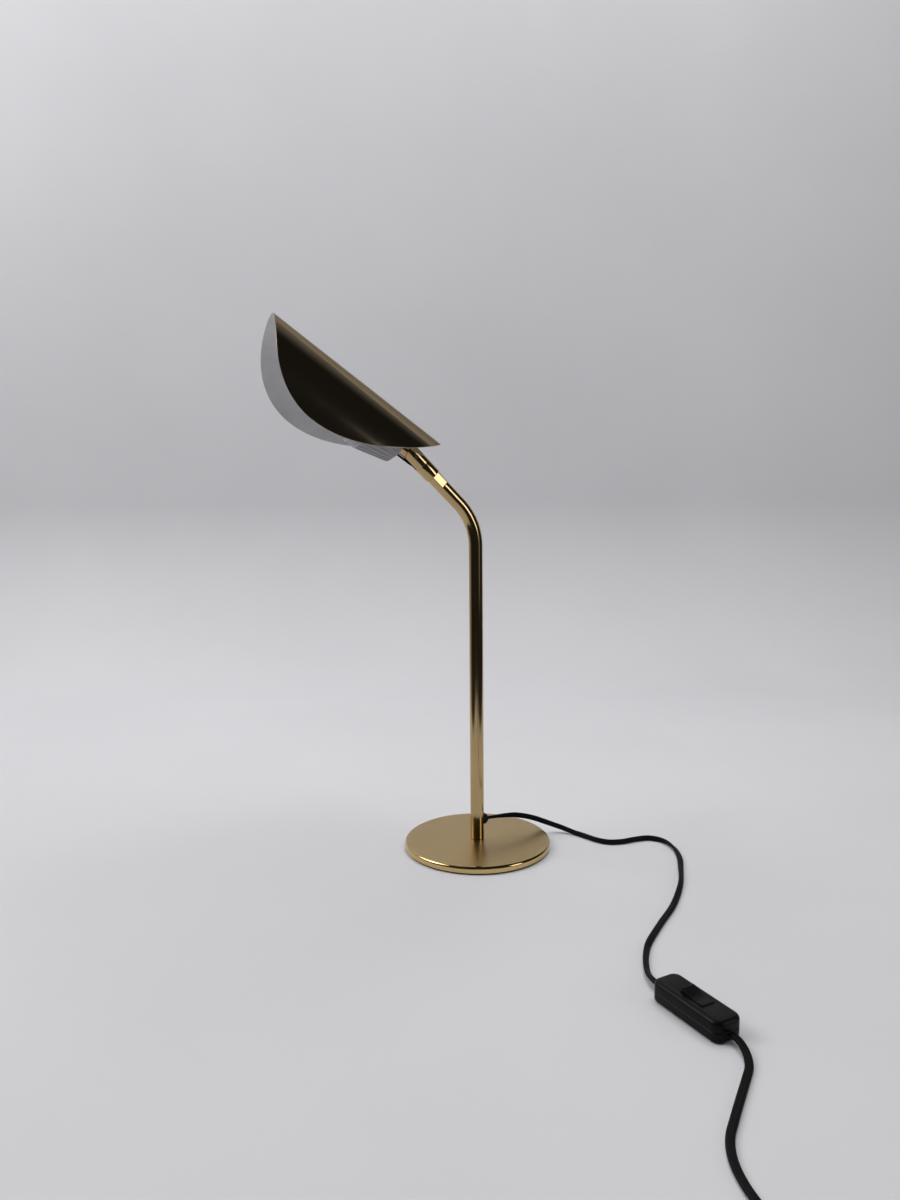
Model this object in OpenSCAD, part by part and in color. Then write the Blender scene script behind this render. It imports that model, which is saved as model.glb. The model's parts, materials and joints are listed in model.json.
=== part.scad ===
// Desk lamp with a bent leaf shade on a swivelling, tilting knuckle. Sizes in millimetres.
// The origin is the centre of the underside of the base. +Z is up, and the arm leans towards -X.

/* [Base] */
// Diameter of the round base
base_d = 150; // [130:1:180]
// Height of the base's top face above the table
base_h = 8; // [8:0.5:12]
// Rounding of the cover's top edge
base_edge_r = 3; // [2:0.5:4]
// Thickness of the sheet that the base cover is pressed from
cover_t = 1; // [0.8:0.1:1.4]
// Thickness of the soft pad under the base
pad_t = 1.4; // [1:0.1:1.8]
// How far the pad's edge stays inside the cover's edge
pad_inset = 1.5; // [1:0.5:4]
// Thickness of the gasket between the cover and the stem
gasket_t = 0.4; // [0.3:0.1:1]
// Thread diameter of the bolt that holds the stem on the base
base_bolt_d = 6; // [5:0.5:7]

/* [Stem and arm] */
// Outside diameter of the bent tube
stem_d = 14; // [12:0.1:14.4]
// Wall of the bent tube
stem_wall = 1; // [0.8:0.1:1.2]
// Height at which the centre lines of the stem and the arm cross
knee_z = 335.5; // [280:0.5:380]
// Radius of the bend, at the tube's centre line
bend_r = 60; // [40:1:75]
// Lean of the arm from the vertical, in degrees
arm_lean = 45; // [35:1:50]
// Length of the arm from the crossing of the centre lines to the collar
arm_len = 49.8; // [48:0.1:80]
// Height of the cord's exit above the table
exit_z = 28; // [26:1:40]

/* [Swivel] */
// Length of the collar that shows between the arm and the sleeve
collar_len = 13.7; // [10:0.1:20]
// Depth of the two spanner flats on the collar
flat_depth = 1; // [0.5:0.1:1.2]
// Turn of the spanner flats about the arm, in degrees
flat_turn = 11; // [0:1:90]
// Diameter of the hollow stud that the sleeve turns on
stud_d = 8; // [7:0.1:8.4]
// Outside diameter of the sleeve and the fork
sleeve_d = 16.4; // [16:0.1:18]
// Length of the sleeve
sleeve_len = 15.1; // [15:0.1:20]
// Thickness of the sleeve's floor
sleeve_floor = 4; // [3.5:0.1:4.5]
// Swivel of the head away from straight, as it stands at rest, in degrees
rest_swivel = -4.5; // [-20:0.5:20]
// Largest swivel each way from straight, in degrees
swivel_limit = 165; // [120:1:168]

/* [Tilt knuckle] */
// Distance from the sleeve's top to the tilt pivot
pivot_rise = 11; // [10.5:0.1:14]
// Radius of the fork's rounded end about the pivot
fork_r = 10; // [9.5:0.1:10.5]
// Thickness of the tongue in the fork
tongue_t = 4; // [3.5:0.1:5]
// Thickness of the friction washer on each side of the tongue
tilt_washer_t = 0.5; // [0.3:0.1:0.8]
// Diameter of the tilt screw's shank
tilt_screw_d = 4; // [3:0.1:4.5]
// Diameter of the barrel behind the tongue
barrel_d = 14; // [13:0.1:15]
// Distance from the pivot to the barrel's front face
barrel_reach = 15.5; // [15:0.1:18]
// Tilt of the shade's ridge from the arm's line, as it stands at rest, in degrees
rest_tilt = 9.2; // [0:0.1:20]

/* [Shade] */
// Length of the shade's straight ridge
shade_len = 194; // [160:1:210]
// Radius that the sheet is bent to, at its outer face
shade_bend_r = 63; // [62:0.5:75]
// How much wider the leaf is towards its front, as a share of its half width
shade_egg = 0.22; // [0:0.01:0.24]
// Thickness of the shade's sheet
shade_t = 0.8; // [0.6:0.1:1.2]
// Height of the ridge's outer face above the pivot axis
ridge_rise = 24.2; // [24:0.1:30]
// How far the shade reaches behind the pivot
ridge_back = 12.5; // [5:0.5:16]
// Thickness of the bracket strip
bracket_t = 1.2; // [1:0.1:1.5]
// Width of the bracket strip
bracket_w = 12; // [10:0.5:13]
// Length of the bracket's leg under the ridge
bracket_leg = 24; // [22:0.5:26]
// Diameter of the studs welded inside the ridge
shade_stud_d = 3; // [2.5:0.1:3.5]

/* [Lamp body] */
// Largest diameter of the lamp body, at its bezel
lamp_d = 50; // [44:0.5:50]
// Diameter over the ribs at the back of the lamp body
lamp_back_d = 33; // [31:0.5:36]
// Length of the ribbed cone, with the bezel
lamp_len = 47.5; // [46:0.5:49]
// How far the lamp's axis lies below the pivot
lamp_drop = 3.5; // [3:0.1:5]
// Diameter of the boss on the back of the lamp body
boss_d = 20.6; // [20:0.1:24]
// Length of the boss
boss_len = 2.4; // [2.2:0.1:4]
// Number of ribs round the lamp body
rib_count = 24; // [12:1:30]
// Thickness of a rib
rib_t = 1.5; // [1:0.1:2]
// Height of a rib above the core
rib_h = 1.6; // [1:0.1:2]
// Length of the bezel along the lamp
bezel_len = 14; // [12:0.5:16]

/* [Cord] */
// Width of the flat cord
cord_w = 5.6; // [5:0.1:6]
// Thickness of the flat cord
cord_t = 3.4; // [3:0.1:3.8]
// Radius of the coil's innermost loop
coil_r = 23; // [20:0.5:30]
// Distance from one loop to the next across the coil
coil_pitch = 6.2; // [6.1:0.1:7]
// Loops in each of the coil's two layers
coil_loops = 2.625; // [1.625:1:4.625]
// Diameter of the black sleeved lead to the lamp body
lead_d = 2.2; // [2:0.1:2.3]
// Diameter of the round flex inside the stem
flex_d = 3.4; // [3:0.1:3.6]

/* [Cord switch] */
// Length of the switch on the cord
switch_l = 66; // [60:1:75]
// Width of the switch
switch_w = 24; // [22:0.5:28]
// Height of the switch without its rocker
switch_h = 15.5; // [15:0.5:18]
// Height of the lower half of the switch's housing
switch_split = 7.5; // [7.5:0.1:8.5]
// Wall of the switch's housing
switch_wall = 1.6; // [1.2:0.1:2]
// Length of the rocker
rocker_l = 21; // [18:0.5:24]
// Width of the rocker
rocker_w = 10.8; // [9:0.1:11]
// Rise of each wing of the rocker, in degrees
rocker_wing = 14; // [8:1:16]
// Tilt of the rocker either way, in degrees
rocker_tilt = 10; // [6:1:11]

/* [Plug] */
// Thickness of the flat two-pin plug
plug_t = 13.7; // [13:0.1:14.4]
// Width of the plug at its pins
plug_w = 35.3; // [34.6:0.1:36]
// Length of the plug's body
plug_l = 36; // [32:0.5:40]
// Distance between the two pins
pin_gap = 18.6; // [17.5:0.1:19.2]
// Diameter of the pins' bare ends
pin_d = 4; // [3.9:0.01:4.1]
// Length of the pins outside the plug
pin_l = 19; // [18.5:0.1:19.5]
// Length of the plug's strain relief
relief_l = 24; // [20:1:30]

/* [Hidden] */
$fn = 64;

// Clearances: a screw in its thread, a turning fit, a slip between faces, a loose hole, a cut's overrun.
thread_gap = 0.02;
turn_gap = 0.05;
face_gap = 0.1;
free_gap = 0.3;
over = 1;

// Base
cover_r = base_d / 2;
skirt_z = pad_t + 0.2;
weight_r = cover_r - cover_t - 1.2;
weight_top = base_h - cover_t;
bolt_r = base_bolt_d / 2;
bolt_head_h = 2.6;
bolt_head_af = base_bolt_d * 5 / 3;
base_washer_t = 1;
recess_r = 13;
recess_top = pad_t + free_gap + bolt_head_h + base_washer_t;
insert_len = 13;
bolt_top = base_h + gasket_t + insert_len - 2;

// Stem and arm
stem_r = stem_d / 2;
bore_r = stem_r - stem_wall;
stem_foot = base_h + gasket_t;
bend_len = bend_r * tan(arm_lean / 2);
bend_z = knee_z - bend_len;
exit_r = 3.5;
flange_r = 5.8;
grommet_nose = stem_r + 4.05;
flex_r = flex_d / 2;
flex_bend_r = 3.7;

// Swivel, measured along the arm from the crossing of the centre lines
collar_top = arm_len + collar_len;
spigot_len = 14;
stud_r = stud_d / 2;
wire_bore_r = flex_r + 0.6;
ring_t = 0.4;
sleeve_foot = collar_top + ring_t;
sleeve_top = sleeve_foot + sleeve_len;
sleeve_r = sleeve_d / 2;
sleeve_bore_r = sleeve_r - 1.6;
floor_top = sleeve_foot + sleeve_floor;
wave_t = 0.8;
nut_h = 4;
nut_top = floor_top + wave_t + nut_h;
stud_top = nut_top + 1.5;
pin_track_r = stem_r - 0.85;
stop_r = 0.6;
track_depth = 2;
stop_half = 180 - swivel_limit - asin(stop_r / pin_track_r);

// Tilt knuckle
pivot = sleeve_top + pivot_rise;
slot_w = tongue_t + 2 * (tilt_washer_t + face_gap);
slot_foot = pivot - fork_r;
screw_r = tilt_screw_d / 2;
screw_head_r = screw_r + 1.5;
screw_head_h = 2.2;
cheek_seat = slot_w / 2 + 2.8;
barrel_r = barrel_d / 2;
eye_r = barrel_r + 0.2;
lamp_seat = barrel_reach + bracket_t;

// Shade, in the head's frame: +Z runs forwards along the ridge, +X points at the ridge
shade_r = shade_len / 2;
shade_axis = ridge_rise - shade_bend_r;
outline_step = 3;
inner_bend_r = shade_bend_r - shade_t;
leg_sag = inner_bend_r - sqrt(pow(inner_bend_r, 2) - pow(bracket_w / 2, 2));
leg_top = ridge_rise - shade_t - leg_sag - 0.05;
shade_nut_h = 2.2;
stud_places = [lamp_seat + 5, lamp_seat + bracket_leg - 7];

// Lamp body, along the same axis
boss_r = boss_d / 2;
cone_back = lamp_seat + boss_len;
cone_len = lamp_len - bezel_len;
lamp_front = cone_back + lamp_len;
bezel_back = lamp_front - bezel_len;
core_back_r = lamp_back_d / 2 - rib_h;
core_front_r = lamp_d / 2 - rib_h;
core_slope = (core_front_r - core_back_r) / cone_len;
rib_root = 0.8;
rib_ease = 0.6;
lamp_wall = 1.6;
boss_wall = 1.2;
floor_front = lamp_seat + boss_len - 0.2;
board_t = 1.6;
driver_seat = floor_front + 2 * board_t;
capacitor_h = 9.4;
choke_h = 5;
led_ledge = 1;
led_seat = cone_back + 0.57 * cone_len;
led_core_r = core_back_r + core_slope * (led_seat - cone_back);
lens_t = 2;
lens_seat = bezel_back + 0.4;
lens_r = core_front_r - 3;
mouth_wall = 2;
mirror_t = 1;
bezel_lip = 2;
bezel_edge = 0.8;
lamp_screw_r = 2;
screw_slot_w = 0.8;
lead_r = lead_d / 2;
lead_drop = barrel_r + free_gap + lead_r;

// Cord. The free stretches follow these points, which lie on the table from the eighth on.
cord_z = cord_t / 2 + 0.1;
switch_at = [15, -343];
switch_turn = -83.5;
switch_dir = [cos(switch_turn), sin(switch_turn)];
cord_in_z = 5.5;
coil_at = [-100, -540];
coil_rings = 24;
coil_out_r = coil_r + coil_pitch * coil_loops;
layer_lift = cord_t + 0.5;
plug_z = plug_t / 2;
tail_len = 22;
switch_in = switch_l / 2 - 8;
function on_switch(along) =
    [switch_at.x + along * switch_dir.x, switch_at.y + along * switch_dir.y, cord_in_z];
lamp_route = [
    [grommet_nose, 0, exit_z], [grommet_nose + cord_w, 0, exit_z],
    [28, 0, exit_z - 0.3], [41, 1, exit_z - 1.6], [54, 1, 23.5],
    [67, 1, 19], [79, 1, 13.5], [89, 0, 9], [98, -5, 5.6], [105.5, -15, 3.2], [111.5, -28, 2.1],
    [117, -42, cord_z], [126, -53, cord_z], [140, -57, cord_z], [156, -57, cord_z],
    [171, -60, cord_z], [180, -73, cord_z], [179, -92, cord_z], [170, -113, cord_z],
    [156, -134, cord_z], [134, -164, cord_z], [103, -196, cord_z], [72, -221, cord_z],
    [44, -245, cord_z], [28, -264, cord_z], [17, -282, 2.6], [12, -294, 4.6],
    on_switch(-switch_l / 2 - cord_w), on_switch(-switch_in),
];
mid_route = [
    on_switch(switch_in), on_switch(switch_l / 2 + cord_w),
    [17.5, -392, 3.4], [11, -403, 2.1], [0, -413, cord_z], [-14, -425, cord_z],
    [-29, -438, cord_z], [-42, -450, cord_z], [-51, -463, cord_z], [-57, -478, cord_z],
    [-60, -494, cord_z], [coil_at.x + coil_out_r, -513, cord_z],
    [coil_at.x + coil_out_r, coil_at.y + 2 * cord_w, cord_z],
    [coil_at.x + coil_out_r, coil_at.y + cord_w, cord_z],
];

// Cord switch, in its own frame: +X away from the lamp
switch_corner = 7;
pivot_z = switch_h - 2.5;
rocker_x = 1.5;
rocker_centre_h = 2.6;
rocker_end_r = rocker_l / 2 + 0.2;
rocker_depth = 4.5;
trunnion_r = 1.5;
trunnion_reach = rocker_w / 2 + 2;
post_r = 2.6;
post_inset = 15;
post_x = switch_l / 2 - post_inset;
post_y = switch_w / 2 - switch_wall - post_r + 0.4;
switch_edge = 1.2;
cord_slack = 0.2;
lug_l = 6;
housing_screw_r = 0.95;
housing_head_r = 1.9;
head_sink = 2;
head_h = 1.4;
screw_grip = 4;

// Plug, in its own frame: +X towards the pins
relief_end_r = cord_w / 2 + 0.6;
relief_body_r = 5;
pin_sleeve_l = 10;
pin_core_r = 1.3;
pin_sleeve_r = 1.65;
pin_inside = 6;
pin_tip = 1;
plug_grip_l = 14;
plug_neck_w = 13;
plug_edge = 4.5;
relief_groove_gap = 4.4;
relief_groove_w = 1.6;
relief_grooves = 4;

// ---------------------------------------------------------------------------------------------
// Frames

// Arm: +Z runs up the arm from the crossing of the centre lines
module on_arm() {
    translate([0, 0, knee_z]) rotate([0, -arm_lean, 0]) children();
}

// Sleeve: the arm's frame, swivelled as it stands at rest
module on_sleeve() {
    on_arm() rotate([0, 0, rest_swivel]) children();
}

// Head: +Z runs forwards, parallel to the ridge, from the tilt pivot
module on_head() {
    on_sleeve() translate([0, 0, pivot]) rotate([0, -rest_tilt, 0]) children();
}

// Lamp body: the head's frame, on the lamp's own axis
module on_lamp() {
    on_head() translate([-lamp_drop, 0, 0]) children();
}

module on_switch_frame() {
    translate([switch_at.x, switch_at.y, 0]) rotate([0, 0, switch_turn]) children();
}

// Rocker: the pivot, tilted with the end nearer the lamp up
module on_rocker() {
    on_switch_frame() translate([rocker_x, 0, pivot_z]) rotate([0, rocker_tilt, 0]) children();
}

module on_plug() {
    translate([coil_at.x - tail_len, coil_at.y - coil_out_r, plug_z]) rotate([0, 0, 180])
        children();
}

// ---------------------------------------------------------------------------------------------
// Shared shapes

// A straight round piece from one height to another, with an optional bore
module turned(r, from, to, hole = 0) {
    difference() {
        translate([0, 0, from]) cylinder(r = r, h = to - from);
        if (hole > 0) translate([0, 0, from - over]) cylinder(r = hole, h = to - from + 2 * over);
    }
}

// A cylinder along Y
module cross_pin(r, from, to) {
    translate([0, from, 0]) rotate([-90, 0, 0]) cylinder(r = r, h = to - from);
}

// A hexagonal nut or bolt head, by its width across flats
module hexagon(af, from, to) {
    translate([0, 0, from]) cylinder(d = af / cos(30), h = to - from, $fn = 6);
}

// A slab with rounded corners in plan, made of true cylinders
module rounded_slab(l, w, r, from, to) {
    translate([0, 0, from]) linear_extrude(to - from) {
        square([l - 2 * r, w], center = true);
        square([l, w - 2 * r], center = true);
        for (x = [-1, 1], y = [-1, 1]) translate([x * (l / 2 - r), y * (w / 2 - r)]) circle(r);
    }
}

// The stem's and the arm's centre line, swept by a disc of radius r up to a length along the arm.
// The bend and the arm's straight run are both placed from the bend's centre.
module stem_rod(r, from, along) {
    translate([0, 0, from]) cylinder(r = r, h = bend_z - from);
    translate([-bend_r, 0, bend_z]) {
        rotate([90, 0, 0]) rotate_extrude(angle = arm_lean) translate([bend_r, 0]) circle(r);
        rotate([0, -arm_lean, 0]) translate([bend_r, 0, 0])
            cylinder(r = r, h = along - bend_len);
    }
}

// ---------------------------------------------------------------------------------------------
// Cord geometry

function unit(v) = v / norm(v);

// A point between b and c on the smooth curve through a, b, c and d
function spline(a, b, c, d, t) =
    0.5 * (2 * b + (c - a) * t + (2 * a - 5 * b + 4 * c - d) * t * t
    + (3 * b - a - 3 * c + d) * t * t * t);

// The smooth curve through a route's points, with a number of steps between each two
function smooth(route, steps) = let (n = len(route) - 1) [
    for (i = [0:n - 1], s = [0:steps - 1])
        spline(route[max(i - 1, 0)], route[i], route[i + 1], route[min(i + 2, n)], s / steps),
    route[n],
];

function path_length(path) =
    len(path) < 2 ? 0 : norm(path[1] - path[0]) + path_length([for (i = [1:len(path) - 1]) path[i]]);

// One ring of the cord's flat section, lying level, square to the direction along
function cord_ring(at, along, sides) =
    let (side = unit(cross(along, [0, 0, 1])), rise = cross(side, along)) [
        for (k = [0:sides - 1])
            let (a = 360 * (k + 0.5) / sides)
                at + side * (cord_w / 2 * cos(a)) + rise * (cord_t / 2 * sin(a)),
    ];

// A flat cord along a path, as one closed skin
module cord_tube(path, sides) {
    n = len(path);
    points = [
        for (i = [0:n - 1])
            each cord_ring(path[i], unit(path[min(i + 1, n - 1)] - path[max(i - 1, 0)]), sides),
    ];
    skin = [
        for (i = [0:n - 2], k = [0:sides - 1])
            let (a = i * sides + k, b = i * sides + (k + 1) % sides)
                each [[a, b, a + sides], [b, b + sides, a + sides]],
    ];
    last = (n - 1) * sides;
    caps = [for (k = [1:sides - 2]) each [[0, k + 1, k], [last, last + k, last + k + 1]]];
    polyhedron(points = points, faces = concat(skin, caps));
}

// The coil turns clockwise in and out again. It climbs a layer in the half turn round its middle.
function ease(t) = let (u = min(max(t, 0), 1)) u * u * (3 - 2 * u);
coil_half = 360 * coil_loops;
function coil_point(turn) =
    let (r = coil_r + coil_pitch * abs(turn) / 360, a = -(turn + coil_half))
        [
            coil_at.x + r * cos(a), coil_at.y + r * sin(a),
            cord_z + layer_lift * ease(turn / 180 + 0.5)
                + (plug_z - cord_z - layer_lift) * ease((turn - coil_half + 120) / 120),
        ];
coil_path = [
    [coil_at.x + coil_out_r, coil_at.y + cord_w, cord_z],
    for (i = [0:2 * coil_loops * coil_rings]) coil_point(i * 360 / coil_rings - coil_half),
    [coil_at.x - tail_len / 2, coil_at.y - coil_out_r, plug_z],
    [coil_at.x - tail_len, coil_at.y - coil_out_r, plug_z],
];

// The least gap between one loop and another, taking the flat section as a stadium
function section_gap(p, q) =
    norm([max(norm([p.x - q.x, p.y - q.y]) - (cord_w - cord_t), 0), p.z - q.z]) - cord_t;
coil_gap = min([
    for (i = [0:len(coil_path) - 1], j = [i + coil_rings / 2:1:len(coil_path) - 1])
        section_gap(coil_path[i], coil_path[j]),
]);
lamp_path = smooth(lamp_route, 2);
mid_path = smooth(mid_route, 2);
echo(coil_gap = coil_gap);
echo(cord_length = path_length(lamp_path) + path_length(mid_path) + path_length(coil_path)
    + 2 * switch_in);

// ---------------------------------------------------------------------------------------------
// Base

module base_cover() {
    color("#a98f5c") difference() {
        rotate_extrude($fn = 128) difference() {
            union() {
                translate([0, skirt_z]) square([cover_r, base_h - skirt_z - base_edge_r]);
                translate([0, skirt_z]) square([cover_r - base_edge_r, base_h - skirt_z]);
                translate([cover_r - base_edge_r, base_h - base_edge_r]) circle(base_edge_r);
            }
            translate([0, skirt_z - over]) square([cover_r - cover_t, over + 0.01]);
            square([cover_r - base_edge_r, weight_top]);
            square([cover_r - cover_t, base_h - base_edge_r]);
            translate([cover_r - base_edge_r, base_h - base_edge_r])
                circle(base_edge_r - cover_t);
            translate([-over, 0]) square([over, 2 * base_h]);
        }
        translate([0, 0, pad_t]) cylinder(r = bolt_r + free_gap, h = base_h);
    }
}

module base_weight() {
    weight_edge_r = base_edge_r - cover_t;
    color("#4a4a4c") difference() {
        union() {
            turned(weight_r, pad_t, base_h - base_edge_r - free_gap);
            turned(weight_r - weight_edge_r, pad_t, weight_top);
        }
        turned(bolt_r + free_gap, 0, base_h);
        turned(recess_r, pad_t - over, recess_top);
    }
}

module base_pad() {
    color("#141414") turned(cover_r - pad_inset, 0, pad_t);
}

module foot_gasket() {
    color("#1a1a1a") turned(stem_r - 0.3, base_h, stem_foot, bolt_r + free_gap);
}

module stem_insert() {
    color("#8d8f92")
        turned(bore_r - thread_gap, stem_foot, stem_foot + insert_len, bolt_r + thread_gap);
}

module base_bolt() {
    head_top = recess_top - base_washer_t;
    color("#9a9c9f") {
        turned(bolt_r, head_top, bolt_top);
        hexagon(bolt_head_af, head_top - bolt_head_h, head_top);
    }
}

module base_washer() {
    color("#9a9c9f")
        turned(recess_r - 2, recess_top - base_washer_t, recess_top, bolt_r + free_gap);
}

// ---------------------------------------------------------------------------------------------
// Stem, arm and cord exit

module stem_tube() {
    color("#b39a63") difference() {
        stem_rod(stem_r, stem_foot, arm_len);
        stem_rod(bore_r, stem_foot - over, arm_len + over);
        translate([0, 0, exit_z]) rotate([0, 90, 0]) cylinder(r = exit_r, h = 2 * stem_r);
    }
}

module cord_grommet() {
    neck_r = exit_r - 0.02;
    hole_r = flex_r + turn_gap;
    color("#0c0c0c") translate([0, 0, exit_z]) {
        rotate([0, 90, 0]) difference() {
            turned(neck_r, bore_r - 1, stem_r + 0.5);
            turned(hole_r, 0, 2 * stem_d);
        }
        difference() {
            rotate([0, 90, 0]) rotate_extrude() polygon([
                [hole_r, 2], [flange_r, 2], [flange_r, stem_r + 1.2], [flange_r - 0.7, stem_r + 2.2],
                [cord_w / 2 + 0.6, grommet_nose], [hole_r, grommet_nose],
            ]);
            translate([0, 0, -2 * flange_r]) cylinder(r = stem_r + 0.02, h = 4 * flange_r);
        }
    }
}

module inner_flex() {
    color("#202020") {
        translate([flex_bend_r, 0, exit_z]) rotate([0, 90, 0])
            cylinder(r = flex_r, h = grommet_nose - flex_bend_r);
        translate([flex_bend_r, 0, exit_z + flex_bend_r]) rotate([90, 0, 0])
            rotate_extrude(angle = 90) translate([-flex_bend_r, 0]) circle(flex_r);
        stem_rod(flex_r, exit_z + flex_bend_r, slot_foot - free_gap);
    }
}

// ---------------------------------------------------------------------------------------------
// Swivel

module swivel_collar() {
    color("#b39a63") on_arm() difference() {
        union() {
            turned(bore_r - thread_gap, arm_len - spigot_len, arm_len);
            turned(stem_r, arm_len, collar_top);
            turned(stud_r, collar_top, stud_top);
        }
        turned(wire_bore_r, 0, stud_top + over);
        for (side = [0, 180])
            rotate([0, 0, flat_turn + side])
                translate([-stem_r, stem_r - flat_depth, arm_len + 0.5])
                    cube([stem_d, 2 * flat_depth, collar_len]);
        translate([-pin_track_r, 0, collar_top - track_depth])
            cylinder(r = stop_r, h = track_depth + over);
    }
}

// The pin runs in the groove under the sleeve's floor, and stops at the web left in it
module stop_pin() {
    color("#8d8f92") on_arm() translate([-pin_track_r, 0, 0])
        turned(stop_r, collar_top - track_depth, sleeve_foot + track_depth - free_gap);
}

module friction_ring() {
    color("#d8d6cf") on_arm() turned(pin_track_r - stop_r - 0.2, collar_top, sleeve_foot,
        stud_r + turn_gap);
}

module wave_washer() {
    color("#8d8f92") on_sleeve()
        turned(sleeve_bore_r - 0.4, floor_top, floor_top + wave_t, stud_r + turn_gap);
}

module swivel_nut() {
    color("#b08d4c") on_arm() difference() {
        hexagon((sleeve_bore_r - 0.3) * 2 * cos(30), floor_top + wave_t, nut_top);
        turned(stud_r + thread_gap, floor_top, stud_top);
    }
}

module head_sleeve() {
    groove_r = pin_track_r + stop_r;
    color("#b39a63") on_sleeve() difference() {
        turned(sleeve_r, sleeve_foot, sleeve_top, stud_r + turn_gap);
        turned(sleeve_bore_r, floor_top, sleeve_top + over);
        difference() {
            turned(groove_r + 0.1, sleeve_foot - over, sleeve_foot + track_depth,
                pin_track_r - stop_r - 0.1);
            // The web that the pin stops at
            translate([0, 0, sleeve_foot - 2 * over]) linear_extrude(track_depth + 3 * over)
                polygon([
                    [0, 0],
                    [stem_d * cos(stop_half), -stem_d * sin(stop_half)],
                    [stem_d * cos(stop_half), stem_d * sin(stop_half)],
                ]);
        }
    }
}

// ---------------------------------------------------------------------------------------------
// Tilt knuckle

module fork() {
    color("#b39a63") on_sleeve() difference() {
        union() {
            turned(sleeve_bore_r - thread_gap, stud_top + 1, sleeve_top);
            turned(sleeve_r, sleeve_top, pivot);
            intersection() {
                turned(sleeve_r, pivot, pivot + fork_r);
                translate([0, 0, pivot]) cross_pin(fork_r, -sleeve_d, sleeve_d);
            }
        }
        turned(wire_bore_r, 0, pivot);
        translate([-sleeve_d, -slot_w / 2, slot_foot]) cube([2 * sleeve_d, slot_w, 2 * fork_r]);
        translate([0, 0, pivot]) {
            cross_pin(screw_r + thread_gap, -sleeve_d, sleeve_d);
            cross_pin(screw_head_r + 0.1, cheek_seat, sleeve_d);
        }
    }
}

// The screw's head sits in the far cheek; its end is flush with the near one
module tilt_screw() {
    color("#8a8378") on_sleeve() translate([0, 0, pivot]) difference() {
        union() {
            cross_pin(screw_r, -sleeve_r + 0.4, cheek_seat);
            cross_pin(screw_head_r, cheek_seat, cheek_seat + screw_head_h);
        }
        translate([-screw_head_r, cheek_seat + screw_head_h - 1, -0.4])
            cube([2 * screw_head_r, 2, 0.8]);
    }
}

module tilt_washers() {
    washer_foot = tongue_t / 2 + face_gap / 2;
    color("#d8d6cf") on_sleeve() translate([0, 0, pivot]) difference() {
        for (side = [0, 1]) mirror([0, side, 0])
            cross_pin(screw_r + 3.4, washer_foot, washer_foot + tilt_washer_t);
        cross_pin(screw_r + turn_gap, -sleeve_r, sleeve_r);
    }
}

module knuckle() {
    color("#a98f5c") on_head() difference() {
        union() {
            cross_pin(eye_r, -tongue_t / 2, tongue_t / 2);
            translate([-barrel_r + 1, -tongue_t / 2, 0])
                cube([barrel_d - 2, tongue_t, barrel_reach - 1]);
            difference() {
                turned(barrel_r, 0, barrel_reach);
                cross_pin(fork_r + free_gap, -barrel_d, barrel_d);
            }
        }
        cross_pin(screw_r + turn_gap, -barrel_d, barrel_d);
        turned(lamp_screw_r + thread_gap, fork_r + free_gap + 0.5, barrel_reach + over);
    }
}

// ---------------------------------------------------------------------------------------------
// Shade and its bracket

module bracket() {
    color("#a98f5c") on_head() difference() {
        union() {
            turned(barrel_r, barrel_reach, lamp_seat);
            translate([0, -bracket_w / 2, barrel_reach]) cube([leg_top, bracket_w, bracket_t]);
            translate([leg_top - bracket_t, -bracket_w / 2, barrel_reach])
                cube([bracket_t, bracket_w, bracket_leg]);
        }
        turned(lamp_screw_r + free_gap, 0, lamp_front);
        for (z = stud_places) translate([leg_top - 2 * bracket_t, 0, z]) rotate([0, 90, 0])
            cylinder(d = shade_stud_d + 2 * turn_gap, h = 4 * bracket_t);
    }
}

// The leaf's half width, measured along the bent sheet, and the wrap and depth that it gives
function leaf_half(t) = shade_r * sin(t) * (1 + shade_egg * cos(t));
function leaf_wrap(t) = min(leaf_half(t) / shade_bend_r * 180 / PI, 90);
function leaf_depth(t) = shade_bend_r * (1 - cos(leaf_wrap(t)));

module shade() {
    outline = [
        for (t = [0:outline_step:180])
            [ridge_rise - leaf_depth(t), shade_r * (1 + cos(t)) - ridge_back],
    ];
    color("#6f6248") on_head() intersection() {
        translate([shade_axis, 0, -ridge_back - over]) difference() {
            cylinder(r = shade_bend_r, h = shade_len + 2 * over, $fn = 128);
            translate([0, 0, -over])
                cylinder(r = inner_bend_r, h = shade_len + 4 * over, $fn = 128);
        }
        rotate([90, 0, 0]) linear_extrude(3 * shade_bend_r, center = true) polygon(outline);
    }
}

module shade_studs() {
    stud_foot = leg_top - bracket_t - shade_nut_h - 0.4;
    color("#9a9c9f") on_head() for (z = stud_places) translate([stud_foot, 0, z])
        rotate([0, 90, 0])
            cylinder(d = shade_stud_d, h = ridge_rise - shade_t - 0.02 - stud_foot);
}

module shade_nuts() {
    color("#9a9c9f") on_head() for (z = stud_places)
        translate([leg_top - bracket_t - shade_nut_h, 0, z]) rotate([0, 90, 0]) difference() {
            hexagon(shade_stud_d * 1.8, 0, shade_nut_h);
            turned(shade_stud_d / 2 + thread_gap, -over, shade_nut_h + over);
        }
}

// ---------------------------------------------------------------------------------------------
// Lamp body

module lamp_screw() {
    color("#9a9c9f") on_head() difference() {
        union() {
            turned(lamp_screw_r, fork_r + free_gap + 0.9, floor_front);
            turned(2 * lamp_screw_r, floor_front, floor_front + lamp_screw_r);
        }
        translate([-2 * lamp_screw_r, -screw_slot_w / 2, floor_front + lamp_screw_r / 2])
            cube([4 * lamp_screw_r, screw_slot_w, lamp_screw_r]);
    }
}

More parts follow.
